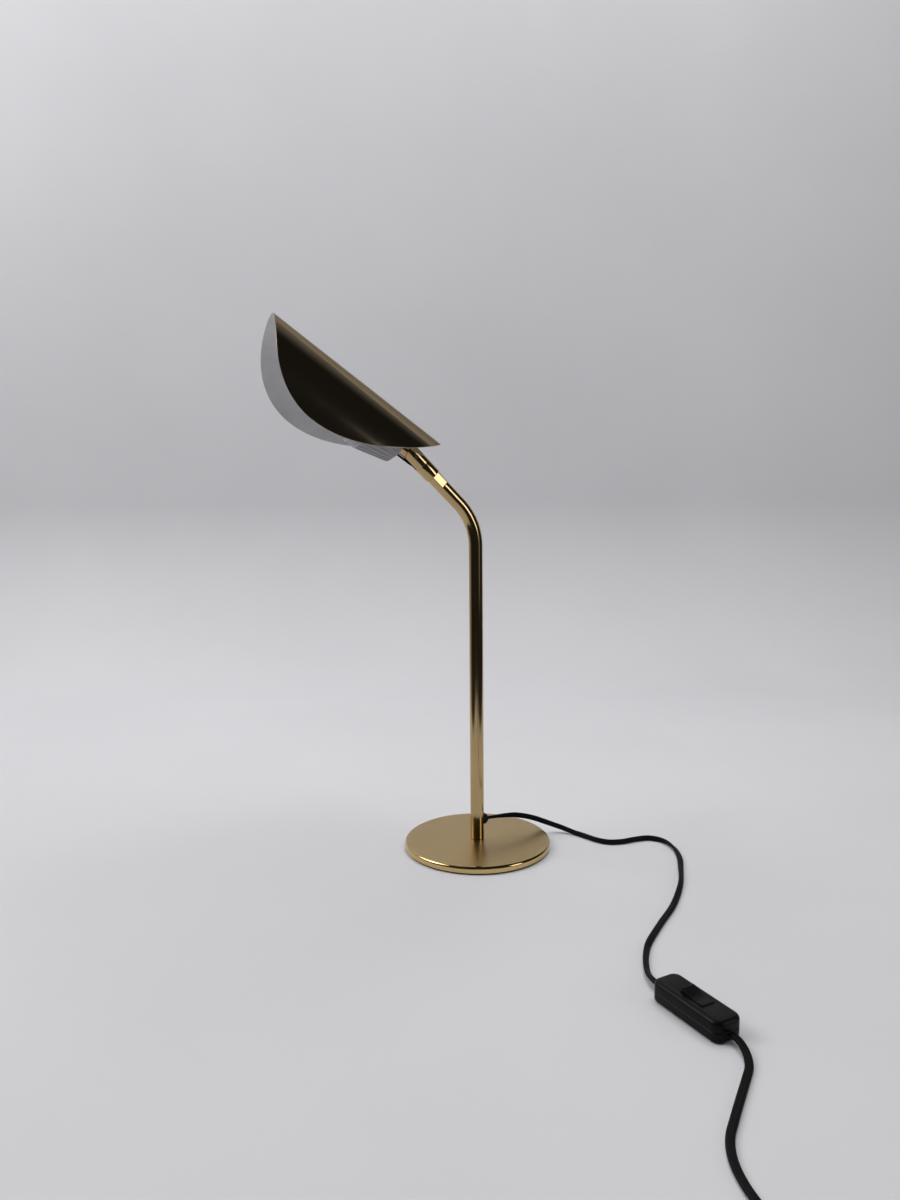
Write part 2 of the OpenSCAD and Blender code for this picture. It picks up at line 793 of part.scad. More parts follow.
module lamp_body() {
    color("#7c7a7c") on_lamp() difference() {
        union() {
            turned(boss_r, lamp_seat, cone_back);
            rotate_extrude() polygon([
                [0, cone_back], [core_back_r, cone_back], [core_front_r, bezel_back],
                [0, bezel_back],
            ]);
            for (k = [0:rib_count - 1]) rotate([90, 0, 360 * (k + 0.5) / rib_count])
                linear_extrude(rib_t, center = true) polygon([
                    [core_back_r - rib_root, cone_back],
                    [core_back_r + rib_h - rib_ease, cone_back],
                    [core_back_r + rib_h, cone_back + rib_ease],
                    [lamp_d / 2 - rib_ease, bezel_back], [core_front_r - rib_root, bezel_back],
                ]);
        }
        rotate_extrude() polygon([
            [0, floor_front], [boss_r - boss_wall, floor_front],
            [boss_r - boss_wall, driver_seat], [core_back_r - lamp_wall, driver_seat],
            [led_core_r - lamp_wall, led_seat], [led_core_r - led_ledge, led_seat],
            [core_front_r - mouth_wall, bezel_back + over], [0, bezel_back + over],
        ]);
        translate([lamp_drop, 0, 0]) turned(lamp_screw_r + free_gap, 0, cone_back + over);
        translate([lamp_drop - lead_drop, 0, 0]) turned(lead_r + 0.1, 0, cone_back);
    }
}

// The mains circuit, on a round board with its capacitor and a choke
module driver_board() {
    board_r = core_back_r - lamp_wall - face_gap;
    parts_foot = driver_seat + board_t;
    color("#2f6b45") on_lamp() {
        turned(board_r, driver_seat, parts_foot);
        translate([-0.37 * board_r, 0, 0])
            turned(0.26 * board_r, parts_foot, parts_foot + capacitor_h);
        translate([0.15 * board_r, -0.3 * board_r, parts_foot])
            cube([0.45 * board_r, 0.6 * board_r, choke_h]);
    }
}

module led_board() {
    color("#e6e6e2") on_lamp()
        turned(led_core_r - led_ledge - face_gap, led_seat, led_seat + board_t);
}

module led_chips() {
    chips_foot = led_seat + board_t;
    color("#f0d98a") on_lamp() for (k = [0:5]) rotate([0, 0, 60 * k])
        translate([0.36 * led_core_r, 0, 0])
            turned(0.08 * led_core_r, chips_foot, chips_foot + mirror_t);
}

module reflector() {
    foot = led_seat + board_t;
    foot_r = 0.54 * led_core_r;
    rim_z = lens_seat - face_gap;
    color("#f4f4f2") on_lamp() rotate_extrude() polygon([
        [foot_r, foot], [foot_r + 1.5 * mirror_t, foot], [lens_r - mirror_t / 2, rim_z],
        [lens_r - 1.5 * mirror_t, rim_z],
    ]);
}

module lens() {
    color("#eef2f4") on_lamp() turned(lens_r, lens_seat, lens_seat + lens_t);
}

// A ring in front of the ribs, whose inside flares out from a lip over the lens
module bezel() {
    lip_z = lens_seat + lens_t + turn_gap;
    color("#c9cacc") on_lamp() rotate_extrude() polygon([
        [lens_r + face_gap, bezel_back], [lamp_d / 2, bezel_back],
        [lamp_d / 2, lamp_front - bezel_edge], [lamp_d / 2 - bezel_edge, lamp_front],
        [lens_r + bezel_edge, lamp_front], [lens_r - bezel_lip, lip_z],
        [lens_r + face_gap, lip_z],
    ]);
}

// The lead comes round the eye in the fork's slot, hugs the barrel and enters the boss
module lamp_lead() {
    color("#101010") on_head() {
        rotate([90, 0, 0]) rotate_extrude(angle = 90) translate([-lead_drop, 0]) circle(lead_r);
        translate([-lead_drop, 0, 0]) cylinder(r = lead_r, h = floor_front);
    }
}

// ---------------------------------------------------------------------------------------------
// Cord and its switch

module cord_lamp() {
    color("#0c0c0c") cord_tube(lamp_path, 8);
}

module cord_mid() {
    color("#0c0c0c") cord_tube(mid_path, 8);
}

module cord_coil() {
    color("#0c0c0c") cord_tube(coil_path, 6);
}

// Half a housing: a rounded slab, hollow, open on its split face, with a slot for the cord
module housing_half(from, to, inner_from, inner_to) {
    difference() {
        rounded_slab(switch_l, switch_w, switch_corner, from, to);
        rounded_slab(switch_l - 2 * switch_wall, switch_w - 2 * switch_wall,
            switch_corner - switch_wall, inner_from, inner_to);
        translate([-switch_l, -cord_w / 2 - cord_slack, cord_in_z - cord_t / 2 - cord_slack])
            cube([2 * switch_l, cord_w + 2 * cord_slack, cord_t + 2 * cord_slack]);
    }
}

module switch_base() {
    color("#0e0e0e") on_switch_frame() difference() {
        union() {
            housing_half(0, switch_split, switch_wall, switch_split + over);
            for (side = [-1, 1]) translate([side * post_x, post_y, 0])
                turned(post_r, 0, switch_split);
        }
        for (side = [-1, 1]) translate([side * post_x, post_y, 0]) {
            turned(housing_screw_r + free_gap, -over, switch_split + over);
            turned(housing_head_r + face_gap, -over, head_sink);
        }
    }
}

module switch_cover() {
    lug_t = trunnion_reach - rocker_w / 2 - free_gap;
    color("#0e0e0e") on_switch_frame() difference() {
        union() {
            difference() {
                rounded_slab(switch_l, switch_w, switch_corner, switch_split,
                    switch_h - switch_edge);
                rounded_slab(switch_l - 2 * switch_wall, switch_w - 2 * switch_wall,
                    switch_corner - switch_wall, switch_split - over, switch_h - switch_wall);
            }
            rounded_slab(switch_l - 2 * switch_edge, switch_w - 2 * switch_edge,
                switch_corner - switch_edge, switch_h - switch_wall, switch_h);
            for (side = [0, 1]) mirror([0, side, 0])
                translate([rocker_x - lug_l / 2, rocker_w / 2 + free_gap, pivot_z - lug_l / 2])
                    cube([lug_l, lug_t, switch_h - switch_wall / 2 - pivot_z + lug_l / 2]);
            for (side = [-1, 1]) translate([side * post_x, post_y, 0])
                turned(post_r, switch_split, switch_h - switch_wall + cord_slack,
                    housing_screw_r);
        }
        translate([rocker_x - rocker_end_r - free_gap, -rocker_w / 2 - free_gap, 0])
            cube([2 * (rocker_end_r + free_gap), rocker_w + 2 * free_gap, 2 * switch_h]);
        translate([rocker_x, 0, pivot_z])
            cross_pin(trunnion_r + turn_gap, -trunnion_reach, trunnion_reach);
    }
}

module switch_rocker() {
    wing_h = rocker_centre_h + rocker_end_r * tan(rocker_wing);
    color("#090909") on_rocker() {
        intersection() {
            rotate([90, 0, 0]) linear_extrude(rocker_w, center = true) polygon([
                [-rocker_end_r, -rocker_depth], [-rocker_end_r, wing_h], [0, rocker_centre_h],
                [rocker_end_r, wing_h], [rocker_end_r, -rocker_depth],
                [2.5, -rocker_depth], [0, -rocker_depth - 1], [-2.5, -rocker_depth],
            ]);
            cross_pin(rocker_end_r, -rocker_w, rocker_w);
        }
        cross_pin(trunnion_r, -trunnion_reach + 0.2, trunnion_reach - 0.2);
    }
}

// Two terminal strips on the floor, and the sprung blade that the rocker presses
module switch_contacts() {
    strip_l = 8;
    strip_w = 5;
    strip_t = 0.8;
    strip_x = 12;
    color("#b08d4c") on_switch_frame() {
        for (side = [-1, 1])
            translate([side * strip_x - strip_l / 2, -1.3 * strip_w, switch_wall]) {
                cube([strip_l, strip_w, strip_t]);
                cube([strip_t, strip_w, 4 * strip_t]);
            }
        translate([-0.43 * rocker_l, 2, switch_wall])
            cube([0.95 * rocker_l, 0.8 * strip_w, strip_t]);
        translate([0, 2, switch_wall]) cube([2 * strip_t, 0.8 * strip_w, 4 * strip_t]);
    }
}

// The bars that pinch the cord inside each end of the housing
module cord_clamps() {
    clamp_z = cord_in_z - cord_t / 2;
    clamp_t = 3;
    clamp_w = 1.8 * cord_w;
    clamp_x = switch_l / 2 - switch_wall - clamp_t;
    color("#3a3a3a") on_switch_frame() for (side = [-1, 1])
        translate([side * clamp_x - clamp_t / 2, -clamp_w / 2, switch_wall])
            cube([clamp_t, clamp_w, clamp_z - switch_wall]);
}

module switch_screws() {
    color("#9a9c9f") on_switch_frame() for (side = [-1, 1])
        translate([side * post_x, post_y, 0]) difference() {
            union() {
                turned(housing_head_r, head_sink - head_h, head_sink);
                turned(housing_screw_r - thread_gap, head_sink, switch_split + screw_grip);
            }
            translate([-housing_head_r - over, -screw_slot_w / 3, head_sink - head_h - over])
                cube([2 * (housing_head_r + over), 2 * screw_slot_w / 3, head_h / 3 + over]);
        }
}

// ---------------------------------------------------------------------------------------------
// Plug

module plug_relief() {
    color("#0e0e0e") on_plug() rotate([0, 90, 0]) difference() {
        rotate_extrude() polygon([
            [0, 0], [relief_end_r, 0], [relief_body_r, relief_l - 3], [relief_body_r, relief_l],
            [0, relief_l],
        ]);
        for (k = [1:relief_grooves]) rotate_extrude()
            translate([relief_body_r - 0.7, k * relief_groove_gap - relief_groove_w / 2])
                square([2 * over, relief_groove_w]);
    }
}

module plug_body() {
    half_w = plug_w / 2;
    half_t = plug_t / 2;
    grip_x = plug_l - plug_grip_l;
    bow = plug_grip_l / 7;
    flank = half_t - plug_edge * 0.86;
    color("#0e0e0e") on_plug() translate([relief_l, 0, 0]) difference() {
        intersection() {
            translate([0, 0, -half_t]) linear_extrude(plug_t) polygon([
                [0, -plug_neck_w / 2], [plug_edge, -half_w / 2], [grip_x, -half_w + bow],
                [grip_x + 3 * bow, -half_w], [plug_l, -half_w], [plug_l, half_w],
                [grip_x + 3 * bow, half_w], [grip_x, half_w - bow], [plug_edge, half_w / 2],
                [0, plug_neck_w / 2],
            ]);
            rotate([90, 0, 90]) linear_extrude(plug_l) polygon([
                [-half_w, -flank], [-half_w + plug_edge, -half_t], [half_w - plug_edge, -half_t],
                [half_w, -flank], [half_w, flank], [half_w - plug_edge, half_t],
                [-half_w + plug_edge, half_t], [-half_w, flank],
            ]);
        }
        for (side = [-1, 1]) translate([0, side * pin_gap / 2, 0]) rotate([0, 90, 0])
            turned(pin_core_r + thread_gap, plug_l - pin_inside, plug_l + over);
    }
}

module pin_sleeves() {
    color("#161616") on_plug() for (side = [-1, 1])
        translate([relief_l, side * pin_gap / 2, 0]) rotate([0, 90, 0])
            turned(pin_sleeve_r, plug_l, plug_l + pin_sleeve_l, pin_core_r + thread_gap);
}

module plug_pins() {
    bare = plug_l + pin_sleeve_l;
    tip_foot = plug_l + pin_l - pin_tip;
    color("#c9cacc") on_plug() for (side = [-1, 1])
        translate([relief_l, side * pin_gap / 2, 0]) rotate([0, 90, 0]) {
            turned(pin_core_r, plug_l - pin_inside + face_gap, bare);
            turned(pin_d / 2, bare, tip_foot);
            rotate_extrude() polygon([
                [0, tip_foot], [pin_d / 2, tip_foot],
                [pin_d / 2 - 0.9 * pin_tip, tip_foot + pin_tip], [0, tip_foot + pin_tip],
            ]);
        }
}

// ---------------------------------------------------------------------------------------------

base_cover();
base_weight();
base_pad();
foot_gasket();
stem_insert();
base_bolt();
base_washer();
stem_tube();
cord_grommet();
inner_flex();
swivel_collar();
stop_pin();
friction_ring();
wave_washer();
swivel_nut();
head_sleeve();
fork();
tilt_screw();
tilt_washers();
knuckle();
bracket();
shade();
shade_studs();
shade_nuts();
lamp_screw();
lamp_body();
driver_board();
led_board();
led_chips();
reflector();
lens();
bezel();
lamp_lead();
cord_lamp();
switch_base();
switch_cover();
switch_rocker();
switch_contacts();
cord_clamps();
switch_screws();
cord_mid();
cord_coil();
plug_relief();
plug_body();
pin_sleeves();
plug_pins();
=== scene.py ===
# %% [markdown]
# # A desk lamp with a bent leaf shade
#
# The lamp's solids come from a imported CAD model, which is loaded as a fixed frame. This file gives
# them their looks: smooth surfaces worked out with numpy, materials built from shader nodes, soft
# light and a fitted camera. Everything is in metres, with the origin under the centre of the base,
# +Z up, and the arm leaning towards -X.

# %% Load the frame
import json

import bmesh
import bpy
import numpy as np
from mathutils import Matrix, Vector

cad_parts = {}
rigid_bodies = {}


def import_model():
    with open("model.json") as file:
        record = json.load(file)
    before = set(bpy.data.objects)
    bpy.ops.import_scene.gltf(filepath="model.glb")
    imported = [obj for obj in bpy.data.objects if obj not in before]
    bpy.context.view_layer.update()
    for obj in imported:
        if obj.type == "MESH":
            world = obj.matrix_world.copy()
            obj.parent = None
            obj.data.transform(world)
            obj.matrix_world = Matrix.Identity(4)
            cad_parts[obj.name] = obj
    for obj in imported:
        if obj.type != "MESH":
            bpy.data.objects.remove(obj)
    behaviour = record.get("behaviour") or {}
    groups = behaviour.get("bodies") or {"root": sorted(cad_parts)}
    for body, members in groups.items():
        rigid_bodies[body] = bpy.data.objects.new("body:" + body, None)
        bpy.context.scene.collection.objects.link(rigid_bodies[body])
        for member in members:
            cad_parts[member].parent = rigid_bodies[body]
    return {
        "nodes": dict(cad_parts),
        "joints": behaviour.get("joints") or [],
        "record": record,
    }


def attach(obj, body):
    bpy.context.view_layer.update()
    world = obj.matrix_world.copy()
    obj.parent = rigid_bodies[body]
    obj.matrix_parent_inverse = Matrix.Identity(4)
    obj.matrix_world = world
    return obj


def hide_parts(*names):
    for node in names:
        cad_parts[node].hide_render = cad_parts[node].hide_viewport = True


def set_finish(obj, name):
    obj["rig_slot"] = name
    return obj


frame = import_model()
NODES = frame["nodes"]
JOINTS = {joint["name"]: joint for joint in frame["joints"]}
SLOT_OF = {part["node"]: part["material_slot"] for part in frame["record"]["subparts"]}
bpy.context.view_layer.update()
MM = 0.001

# %% [markdown]
# ## The camera
#
# The camera was fitted to a photograph of the lamp: the base's ellipse gives its height and pitch,
# and the stem, the collar and the shade's outline give its distance and its turn round the lamp. A
# constraint could aim it, but plain angles are easier to check.

# %% Camera
CAMERA_PLACE = Vector((-360.43, -826.53, 363.38)) * MM
CAMERA_TURN = np.radians(-21.9)
CAMERA_PITCH = np.radians(90 - 6.7264)
CAMERA_ROLL = np.radians(-0.526)
LENS_MM, SENSOR_MM = 27.03, 36


def in_scene(name, data):
    """A new object that holds the data, linked to the scene."""
    thing = bpy.data.objects.new(name, data)
    bpy.context.scene.collection.objects.link(thing)
    return thing


camera_data = bpy.data.cameras.new("photo_camera")
camera_data.sensor_width = SENSOR_MM
camera_data.lens = LENS_MM
camera = in_scene("photo_camera", camera_data)
camera.matrix_world = (
    Matrix.Translation(CAMERA_PLACE)
    @ Matrix.Rotation(CAMERA_TURN, 4, "Z")
    @ Matrix.Rotation(CAMERA_PITCH, 4, "X")
    @ Matrix.Rotation(CAMERA_ROLL, 4, "Z")
)
bpy.context.scene.camera = camera
bpy.context.scene.view_settings.view_transform = "Standard"
print("camera at", tuple(CAMERA_PLACE), "with a lens of", LENS_MM, "mm")

# %% [markdown]
# ## From arrays to meshes
#
# Every new surface is a grid of points: rows along one parameter, columns along the other. One
# helper makes it a closed mesh, joining the last column to the first and shutting the ends.
# Modelling by hand would give the same shapes, but a formula keeps each size readable.

# %% Closed meshes
SAME_POINT = 1e-7


def joined(*parts):
    """Arrays side by side as one: x, y and z as points, or four corners as faces."""
    return np.stack(np.broadcast_arrays(*parts), axis=-1)


def describe(name, mesh):
    """Prints a mesh's number of faces and its size along X, Y and Z."""
    points = np.empty(3 * len(mesh.vertices), np.float32)
    mesh.vertices.foreach_get("co", points)
    size = np.ptp(points.reshape(-1, 3), axis=0) / MM
    print(f"{name}: {len(mesh.polygons)} faces, {size.round(1)} mm")


def finish_mesh(mesh, name, sharp=35):
    """Merges doubled points, turns every face outwards, and makes the object at the origin. Edges
    sharper than sharp degrees stay hard, and the rest is shaded smooth."""
    work = bmesh.new()
    work.from_mesh(mesh)
    bmesh.ops.remove_doubles(work, verts=work.verts, dist=SAME_POINT)
    bmesh.ops.dissolve_degenerate(work, edges=work.edges, dist=SAME_POINT)
    bmesh.ops.recalc_face_normals(work, faces=work.faces)
    work.to_mesh(mesh)
    work.free()
    mesh.polygons.foreach_set("use_smooth", np.ones(len(mesh.polygons), bool))
    mesh.set_sharp_from_angle(angle=np.radians(sharp))
    describe(name, mesh)
    return in_scene(name, mesh)


def grid_mesh(name, points, wrap_rows=False, sharp=35):
    """A mesh from an array of rows x columns x 3. Columns close on themselves. Rows either close on
    themselves (wrap_rows) or end in a flat cap at each end."""
    rows, cols = points.shape[:2]
    index = np.arange(rows * cols).reshape(rows, cols)
    below = index if wrap_rows else index[:-1]
    above = np.roll(index, -1, axis=0) if wrap_rows else index[1:]
    quads = joined(below, np.roll(below, -1, axis=1), np.roll(above, -1, axis=1), above)
    faces = quads.reshape(-1, 4).tolist()
    if not wrap_rows:
        faces += [index[0].tolist(), index[-1][::-1].tolist()]
    mesh = bpy.data.meshes.new(name)
    mesh.from_pydata(points.reshape(-1, 3).tolist(), [], faces)
    return finish_mesh(mesh, name, sharp)


# %% [markdown]
# ## Where things are
#
# The joints of the CAD model say where the arm's axis and the tilt axis run. The sleeve's and the
# head's frames follow from those two lines and the tilt of the ridge at rest. Shapes are written in
# millimetres along such a frame's directions.

# %% Frames of the arm, the sleeve, the head and the switch
def unit(v):
    """The same direction, with a length of 1."""
    return np.asarray(v, float) / np.linalg.norm(v)


def framed(origin, x, y, z):
    """A function that takes points (a, b, c) in millimetres to origin + a x + b y + c z, in metres
    in the lamp's own frame."""

    def place(points):
        p = np.asarray(points, float) * MM
        return np.asarray(origin, float) + p[..., :1] * x + p[..., 1:2] * y + p[..., 2:3] * z

    return place


X, Y, Z = np.eye(3)
PIVOT = np.array(JOINTS["head_tilt"]["pos_m"], float)
ARM = unit(JOINTS["head_swivel"]["axis"])
TILT_AXIS = unit(JOINTS["head_tilt"]["axis"])
REST_TILT = np.radians(9.2)
PIVOT_ALONG = 90.0

KNEE = PIVOT - PIVOT_ALONG * MM * ARM
sleeve_up = unit(np.cross(TILT_AXIS, ARM))
ridge = ARM * np.cos(REST_TILT) - sleeve_up * np.sin(REST_TILT)
head_up = sleeve_up * np.cos(REST_TILT) + ARM * np.sin(REST_TILT)

on_table = framed((0, 0, 0), X, Y, Z)
on_sleeve = framed(KNEE, sleeve_up, TILT_AXIS, ARM)
on_head = framed(PIVOT, head_up, TILT_AXIS, ridge)

SWITCH_TURN = np.radians(-83.5)
SWITCH_AT = np.array([15.0, -343.0])
switch_along = np.array([np.cos(SWITCH_TURN), np.sin(SWITCH_TURN), 0])
switch_across = np.array([-np.sin(SWITCH_TURN), np.cos(SWITCH_TURN), 0])
on_switch = framed((*SWITCH_AT * MM, 0), switch_along, switch_across, Z)
print("knee:", KNEE, "ridge direction:", ridge)

# %% [markdown]
# ## The cord
#
# The lamp's lead is a flat two-core cord, 1.8 m long. It leaves the stem through a grommet, bows
# over the base, lies on the table in loose curves, passes through the switch and ends in a coil
# with its plug beside it. It is one skin carried along one smooth curve. The curve repeats the
# points of the CAD route, so that the cord lies where its solids lie.

# %% Smooth curves
def smoothstep(t):
    """Rises softly from 0 to 1 while t goes from 0 to 1: t^2 (3 - 2t)."""
    t = np.clip(t, 0, 1)
    return t * t * (3 - 2 * t)


def smooth_route(points, steps=8):
    """A curve through every point. Between b and c it is the cubic whose slopes there are half the
    way from a to c and half the way from b to d, the points next to them."""
    p = np.asarray(points, float)
    a, b, c, d = p[np.r_[0, 0 : len(p) - 2]], p[:-1], p[1:], p[np.r_[2 : len(p), len(p) - 1]]
    t = (np.arange(steps) / steps)[None, :, None]
    a, b, c, d = a[:, None], b[:, None], c[:, None], d[:, None]
    curve = 0.5 * (
        2 * b + (c - a) * t + (2 * a - 5 * b + 4 * c - d) * t**2 + (3 * b - a - 3 * c + d) * t**3
    )
    return np.vstack([curve.reshape(-1, 3), p[-1:]])


def evenly(path, step):
    """The same path with its points at equal distances, and its length."""
    gaps = np.linalg.norm(np.diff(path, axis=0), axis=1)
    far = np.r_[0, np.cumsum(gaps)]
    keep = np.r_[True, gaps > 1e-6]
    at = np.linspace(0, far[-1], int(round(far[-1] / step)) + 1)
    return joined(*(np.interp(at, far[keep], path[keep, k]) for k in range(3))), far[-1]


# %% Coil
CORD_W, CORD_T, TABLE_GAP = 5.6, 3.4, 0.1
CORD_Z = CORD_T / 2 + TABLE_GAP
COIL_AT = np.array([-100.0, -540.0])
COIL_R, COIL_PITCH, COIL_LOOPS = 23.0, 6.2, 2.625
COIL_OUT = COIL_R + COIL_PITCH * COIL_LOOPS
COIL_SIDE, COIL_FRONT = COIL_AT[0] + COIL_OUT, COIL_AT[1] - COIL_OUT
LAYER_LIFT = CORD_T + 0.5
PLUG_T = 13.7
PLUG_Z = PLUG_T / 2
PLUG_RISE = 120


def coil_route(steps=72):
    """A flat spiral that turns inwards over half its loops and outwards again over the rest:
    radius = inner radius + pitch x |turns from the middle|. It climbs one layer in the half turn
    round its middle, and its end rises to the plug's height."""
    half = 360 * COIL_LOOPS
    turn = np.linspace(-half, half, int(2 * COIL_LOOPS * steps) + 1)
    r = COIL_R + COIL_PITCH * np.abs(turn) / 360
    a = np.radians(-(turn + half))
    z = CORD_Z + LAYER_LIFT * smoothstep(turn / 180 + 0.5)
    z += (PLUG_Z - CORD_Z - LAYER_LIFT) * smoothstep((turn - half + PLUG_RISE) / PLUG_RISE)
    return joined(COIL_AT[0] + r * np.cos(a), COIL_AT[1] + r * np.sin(a), z)


print("coil, across its outer turn:", round(2 * COIL_OUT, 1), "mm")

# %% Cord route
EXIT_Z, GROMMET_NOSE = 28.0, 11.05
SWITCH_L, CORD_IN_Z = 66.0, 5.5
SWITCH_IN = SWITCH_L / 2 - 8
TAIL = 22.0
CORD_STEP = 2.2


def along_switch(distance):
    """A point on the switch's centre line, at the height where the cord enters."""
    return [*(SWITCH_AT + distance * switch_along[:2]), CORD_IN_Z]


lamp_route = [
    [GROMMET_NOSE, 0, EXIT_Z], [GROMMET_NOSE + CORD_W, 0, EXIT_Z],
    [28, 0, EXIT_Z - 0.3], [41, 1, EXIT_Z - 1.6], [54, 1, 23.5],
    [67, 1, 19], [79, 1, 13.5], [89, 0, 9], [98, -5, 5.6], [105.5, -15, 3.2], [111.5, -28, 2.1],
    [117, -42, CORD_Z], [126, -53, CORD_Z], [140, -57, CORD_Z], [156, -57, CORD_Z],
    [171, -60, CORD_Z], [180, -73, CORD_Z], [179, -92, CORD_Z], [170, -113, CORD_Z],
    [156, -134, CORD_Z], [134, -164, CORD_Z], [103, -196, CORD_Z], [72, -221, CORD_Z],
    [44, -245, CORD_Z], [28, -264, CORD_Z], [17, -282, 2.6], [12, -294, 4.6],
    along_switch(-SWITCH_L / 2 - CORD_W), along_switch(-SWITCH_IN),
]
mid_route = [
    along_switch(SWITCH_IN), along_switch(SWITCH_L / 2 + CORD_W),
    [17.5, -392, 3.4], [11, -403, 2.1], [0, -413, CORD_Z], [-14, -425, CORD_Z],
    [-29, -438, CORD_Z], [-42, -450, CORD_Z], [-51, -463, CORD_Z], [-57, -478, CORD_Z],
    [-60, -494, CORD_Z], [COIL_SIDE, -513, CORD_Z],
    [COIL_SIDE, COIL_AT[1] + 2 * CORD_W, CORD_Z], [COIL_SIDE, COIL_AT[1] + CORD_W, CORD_Z],
]
plug_end = [
    [COIL_AT[0] - TAIL / 2, COIL_FRONT, PLUG_Z], [COIL_AT[0] - TAIL - 2, COIL_FRONT, PLUG_Z],
]
stretches = [smooth_route(lamp_route), smooth_route(mid_route), coil_route(), plug_end]
cord_path, cord_length = evenly(np.vstack(stretches), CORD_STEP)
print("cord length in mm:", round(float(cord_length), 1))

# %% [markdown]
# ## The cord's skin
#
# The section of a flat cord is an oval, pinched between its two cores. A bevelled curve would carry
# it too, but a flat cord rarely lies flat all along: this one stands on its edge behind the base
# and rolls over further on. So the outline is turned by an angle of its own at each point.

# %% Carried outlines
def carried(name, path, section, roll, place):
    """A closed outline carried along a path. At each point the outline's first axis is level and
    square to the path, turned about the path by the angle in roll, and its second is square to
    both."""
    along = np.gradient(path, axis=0)
    along /= np.linalg.norm(along, axis=1, keepdims=True)
    side = np.cross(along, Z)
    side /= np.linalg.norm(side, axis=1, keepdims=True)
    rise = np.cross(side, along)
    turn = np.broadcast_to(roll, (len(path),))[:, None]
    side, rise = (
        side * np.cos(turn) + rise * np.sin(turn), rise * np.cos(turn) - side * np.sin(turn)
    )
    u, v = section.T
    points = path[:, None] + side[:, None] * u[None, :, None] + rise[:, None] * v[None, :, None]
    return grid_mesh(name, place(points), sharp=60)


def two_core_section(width, thickness, waist=0.16, groove=0.16, steps=32):
    """The outline of a flat two-core cord: an oval whose height follows sin(a), pinched at its
    middle by a shallow bell-shaped groove: 1 - waist e^-(x / (groove width))^2."""
    a = np.linspace(0, 2 * np.pi, steps, endpoint=False)
    across = np.sign(np.cos(a)) * np.abs(np.cos(a)) ** 0.8 * width / 2
    pinch = 1 - waist * np.exp(-((across / (groove * width)) ** 2))
    return joined(across, np.sin(a) * thickness / 2 * pinch)


# %% Cord skin
ROLL_AT = [0, 4, 24, 205, 245, 270, 300, 335, 360, 420, 445, 480, 520, cord_length]
ROLL_TO = [0, 0, 84, 84, 8, 8, 62, 30, 0, 0, 45, 45, 0, 0]
BLUR = 8

travelled = np.linspace(0, cord_length, len(cord_path))
cord_roll = np.radians(np.interp(travelled, ROLL_AT, ROLL_TO))
blur_window = np.ones(2 * BLUR + 1) / (2 * BLUR + 1)
cord_roll = np.convolve(np.pad(cord_roll, BLUR, mode="edge"), blur_window, mode="valid")
half_tall = np.hypot(CORD_W / 2 * np.sin(cord_roll), CORD_T / 2 * np.cos(cord_roll))
cord_path[:, 2] = np.maximum(cord_path[:, 2], half_tall + TABLE_GAP)
section = two_core_section(CORD_W, CORD_T)
power_cord = carried("power_cord", cord_path, section, cord_roll, on_table)
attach(power_cord, "stand")
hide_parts("cord_lamp", "cord_mid", "cord_coil")
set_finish(power_cord, "black_cord")

# %% [markdown]
# ## The base
#
# The base is a pressed cover over an iron weight. Only the cover shows: a flat satin disc whose
# edge rolls over in a small radius. A turned profile is the natural form for it. The profile goes
# up the outside and back along the inside, so the sheet keeps its real thickness. Real edges are
# never quite sharp: a function swaps a profile's corners for small curves that catch the light.

# %% Eased and turned profiles
def eased(profile, radius, steps=4, closed=False):
    """Each corner of a line of points becomes a short curve. The curve starts and ends at radius
    from the corner, or half way to the next one, and is the parabola (1-t)^2 A + 2t(1-t) C + t^2 B,
    with C the corner itself."""
    p = np.asarray(profile, float)
    inner = p if closed else p[1:-1]
    before = np.roll(p, 1, axis=0) if closed else p[:-2]
    after = np.roll(p, -1, axis=0) if closed else p[2:]
    r = np.broadcast_to(np.asarray(radius, float), (len(inner),))[:, None]

    def short_of(other):
        span = other - inner
        length = np.linalg.norm(span, axis=1, keepdims=True)
        return inner + span * np.minimum(r / np.maximum(length, 1e-9), 0.5)

    t = np.linspace(0, 1, steps + 1)[None, :, None]
    a, b, c = short_of(before)[:, None], short_of(after)[:, None], inner[:, None]
    curve = ((1 - t) ** 2 * a + 2 * t * (1 - t) * c + t**2 * b).reshape(-1, 2)
    return curve if closed else np.vstack([p[:1], curve, p[-1:]])


def turned(name, profile, place, segments=96, closed=True):
    """A profile of (radius, height) points, turned about the height axis: each point goes round as
    (r cos a, r sin a, h). place moves the result to where it belongs."""
    a = np.linspace(0, 2 * np.pi, segments, endpoint=False)
    r, h = np.asarray(profile, float).T[..., None]
    return grid_mesh(name, place(joined(r * np.cos(a), r * np.sin(a), h)), wrap_rows=closed)


# %% Base cover
BASE_R, BASE_H, COVER_T, SKIRT_Z, EDGE_R, BOLT_HOLE_R = 74.98, 8.0, 1.0, 1.6, 3.0, 3.3
cover_outside = [[BOLT_HOLE_R, BASE_H], [BASE_R, BASE_H], [BASE_R, SKIRT_Z]]
cover_inside = [
    [BASE_R - COVER_T, SKIRT_Z], [BASE_R - COVER_T, BASE_H - COVER_T],
    [BOLT_HOLE_R, BASE_H - COVER_T],
]
cover_profile = np.vstack(
    [eased(cover_outside, EDGE_R * 1.2, 12), eased(cover_inside, EDGE_R - COVER_T, 6)]
)
base_disc = turned("base_disc", cover_profile, on_table, segments=256)
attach(base_disc, "stand")
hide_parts("base_cover")
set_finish(base_disc, "brass_cover")

# %% [markdown]
# ## The stem
#
# The stem is one tube with one bend. Its centre line is a straight run, an arc and another straight
# run, and a circle goes along it, out along the outer wall and back along the inner one.

